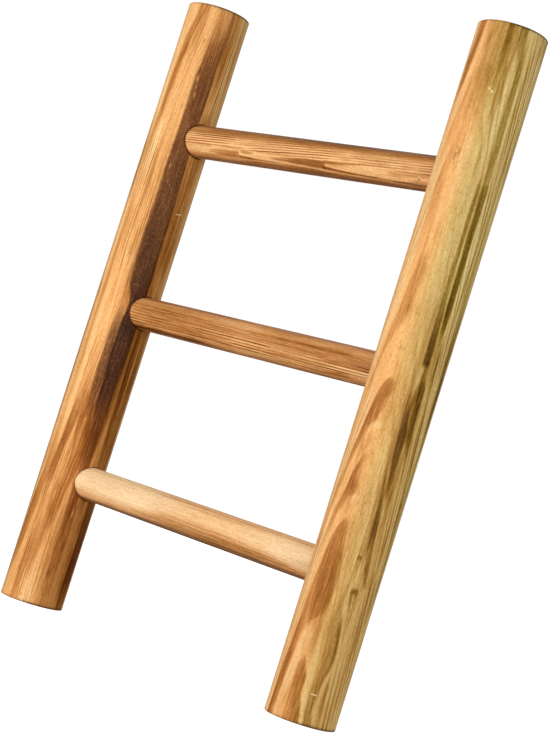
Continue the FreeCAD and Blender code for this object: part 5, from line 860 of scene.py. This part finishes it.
def lay_out(me, local, radius, s0, s1, strips):
    """One map for the whole piece: the wall in strips side by side, then ends and bores."""
    uv = me.uv_layers.new(name="OFBake")
    loop_v = numbers(me.loops, "vertex_index", 1, np.int32)
    start = numbers(me.polygons, "loop_start", 1, np.int32)
    total = numbers(me.polygons, "loop_total", 1, np.int32)
    face = np.repeat(np.arange(len(start)), total)
    a, r, s = local
    cen = np.stack([np.bincount(face, v[loop_v], len(start)) / total for v in
                    (r * np.sin(np.radians(a)), r * np.cos(np.radians(a)), s)], 1)
    cr = np.hypot(cen[:, 0], cen[:, 1])
    ca = np.degrees(np.arctan2(cen[:, 0], cen[:, 1]))
    lr = r[loop_v]
    wall = np.minimum.reduceat(lr, start) > radius - 1.2
    wall &= (cen[:, 2] > s0 + 0.02) & (cen[:, 2] < s1 - 0.02)
    low = (np.maximum.reduceat(s[loop_v], start) < s0 + 0.4) & ~wall
    high = (np.minimum.reduceat(s[loop_v], start) > s1 - 0.4) & ~wall
    pos = np.zeros((len(loop_v), 2))
    la = (ca[face] + wrap(a[loop_v] - ca[face]) + 135.0)
    over = (ca[face] + 135.0) // 360.0
    la = la - 360.0 * over
    length = (s1 - s0) / strips
    k = np.clip(((cen[:, 2] - s0) // length).astype(int), 0, strips - 1)
    girth = 2 * math.pi * radius
    gap = 2.0
    wide = strips * (girth + gap) + gap
    tall = length + 2 * gap
    x = gap + k[face] * (girth + gap) + la / 360.0 * girth
    y = gap + (s[loop_v] - s0 - k[face] * length)
    pos[:, 0], pos[:, 1] = x, y
    px = r[loop_v] * np.sin(np.radians(a[loop_v]))
    py = r[loop_v] * np.cos(np.radians(a[loop_v]))
    for mask, slot in ((low, 0), (high, 1)):
        m = mask[face]
        pos[m, 0] = gap + radius + slot * (2 * radius + gap) + px[m]
        pos[m, 1] = tall + gap + radius + py[m]
    rest = ~(wall | low | high)
    m = rest[face]
    # hidden walls of the bores: a small folded patch of their own
    if m.any():
        side = 2 * (2 * radius + gap) + gap
        span_s = max(float(np.ptp(s[loop_v][m])), 1.0)
        pos[m, 0] = gap + side + radius + px[m] * 0.8
        pos[m, 1] = tall + gap + (s[loop_v][m] - s[loop_v][m].min()) / span_s * 2 * radius
    size = max(wide, tall + 2 * radius + 2 * gap)
    pos /= size
    uv.data.foreach_set("uv", pos.astype(np.float32).ravel())
    return rest


def finish_mesh(ob, local_of, radius, s0, s1, figure, relief, joint_of, nicks, strips):
    """Gives a cut mesh its relief, the fields that its wood reads, and its map."""
    me = ob.data
    co = numbers(me.vertices, "co", 3).astype(float) / MM
    a, r, s, place = local_of(co)
    on_wall = r > radius - 0.05
    ink, ring, lines, lean = figure(a, s, r)
    # dents and the soft unevenness of a sanded pole
    hand = Wander(relief + 1, 9, 45.0)
    grain = Wander(relief + 2, 96, 26.0)
    f = ring - np.floor(ring)
    late = step(0.55, 0.92, f) * step(1.0, 0.94, f)
    dr = 0.05 * hand(a, s + 200) + 0.018 * grain(a, s + 200) + 0.03 * late * np.clip(lines * 3, 0, 1)
    dr += 0.02 * ink["dark"]
    nick = np.zeros(len(a))
    nickline = np.full(len(a), 9.0)
    for s_n, a_n, half_s, half_a, deep, slope in nicks:
        across = (s - s_n - slope * wrap(a - a_n)) / half_s
        along = np.abs(wrap(a - a_n)) / half_a
        dr -= deep * smooth(1.6 - np.hypot(across, along))
        here = (np.abs(across) < 9) & (along < 1.6)
        nick = np.where(here, smooth((1.25 - along) / 0.6), nick)
        nickline = np.where(here, across, nickline)
    seam, gap = joint_of(a, r, s)
    dr -= 0.16 * seam * smooth(1 - gap / 0.9)
    edge_in = step(0.0, 1.2, np.minimum(s - s0, s1 - s) - 0.2)
    r2 = np.where(on_wall, r + dr * edge_in, r)
    me.vertices.foreach_set("co", (place(a, r2, s) * MM).astype(np.float32).ravel())
    end = (((s < s0 + 0.4) | (s > s1 - 0.4)) & (r < radius - 0.3)).astype(float)
    rim = step(2.4, 0.5, np.minimum(s - s0, s1 - s)) * (r > radius - 1.4)
    rim = rim * (0.34 + 0.66 * step(16, 52, a) * step(215, 170, a) * (a > 0))
    for k in ink:
        put(me, k, np.where(on_wall | (end > 0), ink[k], 0.15))
    put(me, "ring", ring)
    put(me, "lines", np.clip(lines, 0, 3))
    put(me, "endgrain", end)
    put(me, "seam", seam)
    put(me, "gap", np.clip(gap, -1, 9))
    put(me, "nick", nick)
    put(me, "nickline", nickline)
    put(me, "rim", rim)
    t = np.radians(a - lean)
    put(me, "fibre", np.stack([r * np.sin(t), -r * np.cos(t), s], 1), "FLOAT_VECTOR")
    pith = np.random.default_rng(relief + 7).uniform(-0.42, 0.42, 2) * radius
    t = np.radians(a)
    put(me, "heart", np.stack([r * np.sin(t) - pith[0], -r * np.cos(t) - pith[1], 0 * s], 1), "FLOAT_VECTOR")
    me.shade_smooth()
    me.set_sharp_from_angle(angle=math.radians(38))
    return lay_out(me, (a, r, s), radius, s0, s1, strips)


# how dark the glue line and the painted crevice shade show on top of each rung, at its front and underneath
SEAM = {"bottom": (0.55, 0.06, 0.95), "middle": (0.60, 0.80, 1.0), "top": (0.75, 0.85, 1.0)}


def seam_round(which, angle):
    up, front, down = SEAM[which]
    return through([0, 45, 90, 135, 180], [up, 0.5 * (up + front), front, 0.35 * front + 0.65 * down, down], np.abs(angle))


def make_rail(node, x0, figure, seed, nicks):
    place = rail_place(x0)
    rows = turned_profile(RAIL_R, 0.0, RAIL_L, RAIL_ARRIS, 1.25, 14)
    ob = turned(node + "_pine", rows, 216, place)
    inward = 1.0 if x0 < 0 else -1.0
    cuts = []
    for z in RUNG_Z.values():
        cuts.append(cutter([(BORE_R, 0.0), (BORE_R, BORE_END - RAIL_X + 20.0), (MOUTH_R, BORE_END - RAIL_X + 20.4), (MOUTH_R, BORE_END - RAIL_X + 30.0)],
                           120, (-inward * BORE_END, 0.0, z), (inward, 0, 0)))
        cuts.append(cutter([(PILOT_R, 0.0), (PILOT_R, SET_END - PILOT_END), (SET_R, SET_END - PILOT_END), (SET_R, 27.0 - PILOT_END)],
                           32, (x0, PILOT_END, z), (0, 1, 0)))
    cut(ob, cuts)

    def local(co):
        dx, dy = co[:, 0] - x0, co[:, 1]
        return np.degrees(np.arctan2(dx, -dy)) % 360.0, np.hypot(dx, dy), co[:, 2], place

    # dark ring round each bore mouth (glue line with painted crevice shade) and round each nail hole
    def joint(a, r, s):
        t = np.radians(a)
        y = -r * np.cos(t)
        facing = inward * np.sin(t) > 0.2
        seam, gap = np.zeros(len(a)), np.full(len(a), 9.0)
        for which, z in RUNG_Z.items():
            here = facing & (np.abs(s - z) < 24)
            gap = np.where(here, np.hypot(y, s - z) - MOUTH_R, gap)
            seam = np.where(here, seam_round(which, np.degrees(np.arctan2(-y, s - z))), seam)
            here = (y > 20) & (np.abs(s - z) < 6)
            gap = np.where(here, np.hypot(r * np.sin(t), s - z) - SET_R, gap)
            seam = np.where(here, 0.7, seam)
        return seam, gap

    finish_mesh(ob, local, RAIL_R, 0.0, RAIL_L, figure, seed, joint, nicks, 2)
    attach(ob, "root")
    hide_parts(node)
    return ob


def make_rung(which, figure, seed):
    z0 = RUNG_Z[which]
    place = rung_place(z0)
    rows = turned_profile(RUNG_R, -RUNG_HALF, RUNG_HALF, 1.5, 1.0, 8)
    ob = turned(which + "_rung_pine", rows, 160, place)
    cuts = [cutter([(PILOT_R, -16.0), (PILOT_R, 16.0)], 32, (x, 0.0, z0), (0, 1, 0)) for x in (-RAIL_X, RAIL_X)]
    cut(ob, cuts)

    def local(co):
        dz, dy = co[:, 2] - z0, co[:, 1]
        return np.degrees(np.arctan2(-dy, dz)) % 360.0, np.hypot(dz, dy), co[:, 0], place

    def joint(a, r, s):
        y = r * np.sin(np.radians(a))
        face = RAIL_X - np.sqrt(np.maximum(RAIL_R**2 - y * y, 0))
        # painted shade: the rung darkens towards where it enters the rail
        return 0.8 * seam_round(which, wrap(a)), face - np.abs(s)

    finish_mesh(ob, local, RUNG_R, -RUNG_HALF, RUNG_HALF, figure, seed, joint, (), 3)
    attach(ob, "root")
    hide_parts(which + "_rung")
    return ob


# ---------------------------------------------------------------- materials
class Tree:
    def __init__(self, name):
        self.mat = bpy.data.materials.new(name)
        self.mat.use_nodes = True
        self.t = self.mat.node_tree
        self.t.nodes.clear()

    def add(self, kind, ins=None, **props):
        n = self.t.nodes.new(kind)
        for k, v in props.items():
            setattr(n, k, v)
        for k, v in (ins or {}).items():
            sock = n.inputs[k]
            if isinstance(v, bpy.types.NodeSocket):
                self.t.links.new(v, sock)
            else:
                sock.default_value = v
        return n

    def read(self, name, out="Fac"):
        return self.add("ShaderNodeAttribute", attribute_name=name).outputs[out]

    def math(self, op, a, b=0.0, c=None, clamp=False):
        ins = {0: a, 1: b}
        if c is not None:
            ins[2] = c
        return self.add("ShaderNodeMath", ins, operation=op, use_clamp=clamp).outputs[0]

    def spread(self, v, a, b, c, d, kind="SMOOTHSTEP"):
        return self.add("ShaderNodeMapRange", {"Value": v, "From Min": a, "From Max": b, "To Min": c, "To Max": d}, interpolation_type=kind).outputs[0]

    def scaled(self, v, x, y, z):
        return self.add("ShaderNodeVectorMath", {0: v, 1: (x, y, z)}, operation="MULTIPLY").outputs[0]

    def noise(self, v, scale, detail=3.0, rough=0.55, lean=0.0):
        return self.add("ShaderNodeTexNoise", {"Vector": v, "Scale": scale, "Detail": detail, "Roughness": rough, "Distortion": lean}).outputs["Fac"]

    def mix(self, f, a, b, how="MIX"):
        n = self.t.nodes.new("ShaderNodeMix")
        n.data_type = "RGBA"
        n.blend_type = how
        n.clamp_factor = True
        for sock, v in ((n.inputs[0], f), (n.inputs[6], a), (n.inputs[7], b)):
            if isinstance(v, bpy.types.NodeSocket):
                self.t.links.new(v, sock)
            else:
                sock.default_value = v
        return n.outputs[2]


def rgb(r, g, b):
    def lin(c):
        c /= 255.0
        return c / 12.92 if c <= 0.04045 else ((c + 0.055) / 1.055) ** 2.4
    return (lin(r), lin(g), lin(b), 1.0)


def wood(name, honey, cream, olive, fine, rough, speckle, blue_red, spec):
    """Stained pine. fine scales the fibres; each piece here passes 1."""
    t = Tree(name)
    fibre = t.read("fibre", "Vector")
    fib = t.noise(t.scaled(fibre, 0.62 * fine, 0.62 * fine, 0.026), 1.0, 4.0, 0.66)
    hair = t.noise(t.scaled(fibre, 1.4 * fine, 1.4 * fine, 0.11), 1.0, 2.0, 0.55)
    broad = t.noise(t.scaled(fibre, 0.14, 0.14, 0.012), 1.0, 2.0, 0.5)
    grit = t.noise(t.scaled(fibre, 1.0, 1.0, 0.45), 1.0, 2.0, 0.6)
    fib_c = t.math("SUBTRACT", fib, 0.5)
    hair_c = t.math("SUBTRACT", hair, 0.5)
    broad_c = t.math("SUBTRACT", broad, 0.5)
    grit_c = t.math("SUBTRACT", grit, 0.5)

    # growth rings: a slow rise to a crisp dark line, each ring of its own strength
    ring = t.math("MULTIPLY_ADD", broad_c, 0.5, t.read("ring"))
    ring = t.math("MULTIPLY_ADD", fib_c, 0.22, ring)
    part = t.math("FRACT", ring)
    rise = t.spread(part, 0.38, 0.86, 0.0, 1.0)
    fall = t.spread(part, 0.90, 1.0, 1.0, 0.0)
    late = t.math("MULTIPLY", rise, fall)
    each = t.add("ShaderNodeTexWhiteNoise", {"W": t.math("FLOOR", ring)}, noise_dimensions="1D").outputs["Value"]
    late = t.math("MULTIPLY", late, t.math("MULTIPLY_ADD", each, 0.8, 0.5))
    thin = t.math("MULTIPLY", late, t.read("lines"))
    patch = t.noise(t.scaled(fibre, 0.11, 0.11, 0.02), 1.0, 1.0, 0.5)
    thin = t.math("MINIMUM", t.math("MULTIPLY", thin, t.spread(patch, 0.38, 0.64, 0.25, 1.5)), 1.8)

    olive_m = t.math("MULTIPLY_ADD", broad_c, 0.25, t.read("olive"), clamp=True)
    light = t.read("light")
    light = t.math("MULTIPLY", light, t.math("MULTIPLY_ADD", fib_c, 1.4, 1.0), clamp=True)

    # resin flecks: short, thin, dark
    fleck = t.noise(t.scaled(fibre, 1.5 * fine, 1.5 * fine, 0.26), 1.0, 1.0, 0.4)
    fleck = t.spread(fleck, 0.68, 0.78, 0.0, 1.0)

    # how much stain the wood took: the drawn figure, broken up along the fibres
    streak = t.math("SUBTRACT", t.noise(t.scaled(fibre, 0.34 * fine, 0.34 * fine, 0.019), 1.0, 2.0, 0.6), 0.5)
    uneven = t.math("MULTIPLY_ADD", fib_c, 1.3, t.math("MULTIPLY_ADD", hair_c, 0.6, t.math("MULTIPLY_ADD", streak, 0.9, 1.0)))
    red = t.math("MULTIPLY", t.read("red"), uneven)
    red = t.math("ADD", red, thin)
    red = t.math("MULTIPLY_ADD", fleck, 0.35, red)
    red = t.math("MULTIPLY_ADD", fib_c, 0.50, red)
    red = t.math("MULTIPLY_ADD", hair_c, 0.40, red)
    red = t.math("MULTIPLY_ADD", streak, 0.24, red)
    red = t.math("MULTIPLY_ADD", grit_c, speckle, red)
    char = t.math("MULTIPLY_ADD", fib_c, 0.75, t.math("MULTIPLY_ADD", grit_c, 1.0, 1.0))
    # pores that stayed pale inside the char
    pore = t.spread(t.noise(t.scaled(fibre, 1.15, 1.15, 0.42), 1.0, 1.0, 0.4), 0.64, 0.74, 0.0, 0.42)
    char = t.math("SUBTRACT", char, pore)
    dark = t.math("MULTIPLY", t.read("dark"), char)

    def left_over(r, d):
        return t.math("EXPONENT", t.math("MULTIPLY_ADD", red, -r, t.math("MULTIPLY", dark, -d)))

    per_red = t.math("ADD", t.math("MULTIPLY", red, -0.34), t.math("MULTIPLY_ADD", olive_m, -0.4, -blue_red))
    blue = t.math("ADD", t.math("MULTIPLY", red, per_red),
                  t.math("MULTIPLY", dark, t.math("MULTIPLY_ADD", olive_m, -2.9, -2.42)))
    seen = t.add("ShaderNodeCombineColor", {
        "Red": left_over(0.87, 2.30), "Green": left_over(1.27, 2.58), "Blue": t.math("EXPONENT", blue)}).outputs[0]

    base = t.mix(olive_m, honey, olive)
    base = t.mix(light, base, t.mix(olive_m, cream, (cream[0] * 0.82, cream[1] * 0.98, cream[2] * 0.92, 1.0)))
    tone = t.math("MULTIPLY_ADD", broad_c, 0.16, 1.0)
    grey = t.add("ShaderNodeCombineColor", {"Red": tone, "Green": tone, "Blue": tone}).outputs[0]
    base = t.mix(1.0, base, grey, "MULTIPLY")
    col = t.mix(1.0, base, seen, "MULTIPLY")

    # end grain drinks the stain, and shows the rings cut across
    heart = t.read("heart", "Vector")
    year = t.add("ShaderNodeVectorMath", {0: heart}, operation="LENGTH").outputs["Value"]
    year = t.math("MULTIPLY_ADD", t.noise(t.scaled(heart, 0.1, 0.1, 1.0), 1.0, 2.0, 0.5), 1.6, t.math("MULTIPLY", year, 0.3))
    turn = t.math("FRACT", year)
    arc = t.math("MULTIPLY", t.spread(turn, 0.2, 0.84, 0.0, 1.0), t.spread(turn, 0.9, 1.0, 1.0, 0.0))
    some = t.add("ShaderNodeTexWhiteNoise", {"W": t.math("FLOOR", year)}, noise_dimensions="1D").outputs["Value"]
    arc = t.math("MULTIPLY", arc, t.math("MULTIPLY_ADD", some, 0.4, 0.6), clamp=True)
    cross = t.mix(arc, rgb(246, 202, 146), rgb(136, 80, 40))
    cross = t.mix(t.math("MULTIPLY", late, 0.22, clamp=True), cross, rgb(104, 60, 28))
    pits = t.spread(t.noise(fibre, 2.6, 2.0, 0.6), 0.35, 0.7, 0.0, 0.3)
    cross = t.mix(pits, cross, rgb(128, 80, 42))
    ends = t.read("endgrain")
    col = t.mix(ends, col, cross)
    col = t.mix(t.math("MULTIPLY", t.read("rim"), t.spread(hair, 0.3, 0.7, 0.6, 1.0)), col, rgb(66, 44, 24))
    scratch = t.math("MULTIPLY", t.read("nick"), t.spread(t.math("ABSOLUTE", t.read("nickline")), 0.5, 1.2, 1.0, 0.0))
    col = t.mix(scratch, col, rgb(240, 204, 150))
    # dark glue line round each joint, deepened by painted crevice shade
    gap = t.math("MULTIPLY_ADD", grit_c, 0.8, t.read("gap"))
    seam = t.math("MULTIPLY", t.read("seam"), t.spread(gap, 0.2, 1.1, 0.92, 0.0))
    col = t.mix(seam, col, rgb(80, 40, 15))

    gloss = t.math("MULTIPLY_ADD", fib_c, 0.16, rough)
    gloss = t.math("MULTIPLY_ADD", ends, 0.22, gloss)
    gloss = t.math("MULTIPLY_ADD", thin, -0.06, gloss, clamp=True)
    high = t.math("MULTIPLY_ADD", fib, 0.55, t.math("MULTIPLY", hair, 0.35))
    high = t.math("MULTIPLY_ADD", thin, 0.5, high)
    high = t.math("MULTIPLY_ADD", fleck, -0.35, high)
    high = t.math("MULTIPLY_ADD", t.math("MULTIPLY", ends, pits), -1.2, high)
    bump = t.add("ShaderNodeBump", {"Strength": 0.22, "Distance": 0.00025, "Height": high}).outputs[0]
    p = t.add("ShaderNodeBsdfPrincipled", {"Base Color": col, "Roughness": gloss, "Specular IOR Level": spec, "Normal": bump})
    t.add("ShaderNodeOutputMaterial", {"Surface": p.outputs[0]})
    return t.mat


def steel(name):
    """Bright drawn wire, dulled where the hammer met it."""
    t = Tree(name)
    at = t.add("ShaderNodeTexCoord").outputs["Object"]
    rub = t.noise(t.scaled(at, 1.0, 0.15, 1.0), 2600.0, 3.0, 0.6)
    worn = t.noise(at, 900.0, 2.0, 0.5)
    col = t.mix(t.spread(worn, 0.45, 0.7, 0.0, 0.8), rgb(178, 176, 172), rgb(112, 106, 100))
    p = t.add("ShaderNodeBsdfPrincipled", {
        "Base Color": col, "Metallic": 1.0, "Roughness": t.spread(rub, 0.3, 0.7, 0.28, 0.5),
        "Normal": t.add("ShaderNodeBump", {"Strength": 0.15, "Distance": 0.0001, "Height": rub}).outputs[0]})
    t.add("ShaderNodeOutputMaterial", {"Surface": p.outputs[0]})
    return t.mat


HONEY = rgb(241, 177, 108)
CREAM = rgb(252, 210, 150)
OLIVE = rgb(212, 180, 112)
rail_wood = wood("rail_pine", HONEY, CREAM, OLIVE, 1.0, 0.5, 0.6, 1.66, 0.08)
rung_wood = wood("rung_pine", rgb(245, 186, 124), CREAM, OLIVE, 1.0, 0.5, 0.6, 1.60, 0.12)
pale_wood = wood("pale_rung_pine", rgb(244, 187, 127), rgb(252, 215, 166), OLIVE, 1.0, 0.5, 0.5, 1.66, 0.12)

# ---------------------------------------------------------------- the pieces
left = make_rail("left_rail", -RAIL_X, left_rail_figure, 100, ((324.2, 95.5, 0.45, 7.5, 0.25, 0.09),))
right = make_rail("right_rail", RAIL_X, right_rail_figure, 200,
                  ((21.6, 49.5, 0.5, 5.0, 0.25, 0.0), (442.5, 30.8, 0.8, 1.8, 0.2, -0.2), (441.0, 35.8, 0.8, 1.8, 0.2, -0.2)))
rungs = [
    make_rung("bottom", bottom_rung_figure, 300),
    make_rung("middle", middle_rung_figure, 400),
    make_rung("top", top_rung_figure, 500),
]
for ob, mat in ((left, rail_wood), (right, rail_wood), (rungs[0], pale_wood), (rungs[1], rung_wood), (rungs[2], rung_wood)):
    ob.data.materials.clear()
    ob.data.materials.append(mat)

wire = steel("pin_steel")
for n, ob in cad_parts.items():
    if n.endswith("_pin"):
        if not ob.material_slots:
            ob.data.materials.append(wire)
        for sl in ob.material_slots:
            sl.material = wire


# ---------------------------------------------------------------- floor, light, camera
def by_ray(tree, seen, unseen):
    """One shader for what the lens sees of the studio, another for the light it gives."""
    path = tree.nodes.new("ShaderNodeLightPath")
    m = tree.nodes.new("ShaderNodeMixShader")
    tree.links.new(path.outputs["Is Camera Ray"], m.inputs[0])
    tree.links.new(unseen, m.inputs[1])
    tree.links.new(seen, m.inputs[2])
    return m.outputs[0]


me = bpy.data.meshes.new("floor")
side = 30.0
me.from_pydata([(-side, -side, 0), (side, -side, 0), (side, side, 0), (-side, side, 0)], [], [(0, 1, 2, 3)])
floor = bpy.data.objects.new("floor", me)
bpy.context.scene.collection.objects.link(floor)
floor.location.z = -0.0002
t = Tree("pale_floor")
seen = t.add("ShaderNodeAddShader", {
    0: t.add("ShaderNodeBsdfDiffuse", {"Color": (0.9, 0.9, 0.9, 1)}).outputs[0],
    1: t.add("ShaderNodeEmission", {"Color": (1, 1, 1, 1), "Strength": 0.9}).outputs[0]}).outputs[0]
unseen = t.add("ShaderNodeBsdfDiffuse", {"Color": (0.58, 0.57, 0.55, 1)}).outputs[0]
t.add("ShaderNodeOutputMaterial", {"Surface": by_ray(t.t, seen, unseen)})
floor.data.materials.append(t.mat)

world = bpy.data.worlds.new("studio")
bpy.context.scene.world = world
world.use_nodes = True
wt = world.node_tree
wt.nodes.clear()
bright = wt.nodes.new("ShaderNodeBackground")
bright.inputs[0].default_value = (1, 1, 1, 1)
bright.inputs[1].default_value = 1.05
fill = wt.nodes.new("ShaderNodeBackground")
fill.inputs[0].default_value = (1, 1, 1, 1)
fill.inputs[1].default_value = 0.26
out = wt.nodes.new("ShaderNodeOutputWorld")
wt.links.new(by_ray(wt, bright.outputs[0], fill.outputs[0]), out.inputs[0])


def softbox(name, az, el, dist, wide, tall, level):
    """A soft light. level is how bright it makes a white card that faces it."""
    li = bpy.data.lights.new(name, "AREA")
    li.shape = "RECTANGLE"
    li.size, li.size_y = wide, tall
    li.energy = math.pi**2 * dist**2 * level
    ob = bpy.data.objects.new(name, li)
    bpy.context.scene.collection.objects.link(ob)
    ob.visible_camera = False
    a, e = math.radians(az), math.radians(el)
    z = np.array([math.sin(a) * math.cos(e), -math.cos(a) * math.cos(e), math.sin(e)])
    x = np.cross([0, 0, 1.0], z)
    x /= np.linalg.norm(x)
    y = np.cross(z, x)
    at = np.array([0, 0, 0.245]) + dist * z
    ob.matrix_world = Matrix(((x[0], y[0], z[0], at[0]), (x[1], y[1], z[1], at[1]), (x[2], y[2], z[2], at[2]), (0, 0, 0, 1)))
    return ob


softbox("key", -15, 3, 1.25, 1.4, 0.6, 0.80)
softbox("front", 70, 3, 1.6, 0.9, 0.6, 0.42)
softbox("back", 215, 40, 2.2, 1.6, 1.2, 0.14)

cam_data = bpy.data.cameras.new("camera")
cam_data.sensor_fit = "AUTO"
cam_data.sensor_width = 36.0
cam_data.lens = 1833.43 / 734.0 * 36.0
cam_data.clip_start, cam_data.clip_end = 0.01, 100.0
cam = bpy.data.objects.new("camera", cam_data)
bpy.context.scene.collection.objects.link(cam)
right_v = (0.6934405, 0.6550631, 0.3000544)
down_v = (0.1775177, 0.2482800, -0.9522839)
fwd_v = (-0.6983035, 0.7136172, 0.0558821)
at = (0.9563964, -0.9484763, 0.1521346)
cam.matrix_world = Matrix((
    (right_v[0], -down_v[0], -fwd_v[0], at[0]),
    (right_v[1], -down_v[1], -fwd_v[1], at[1]),
    (right_v[2], -down_v[2], -fwd_v[2], at[2]),
    (0, 0, 0, 1)))
bpy.context.scene.camera = cam
bpy.context.scene.view_settings.view_transform = "Standard"
bpy.context.scene.view_settings.look = "None"
bpy.context.scene.view_settings.exposure = 0.0
bpy.context.scene.view_settings.gamma = 1.0
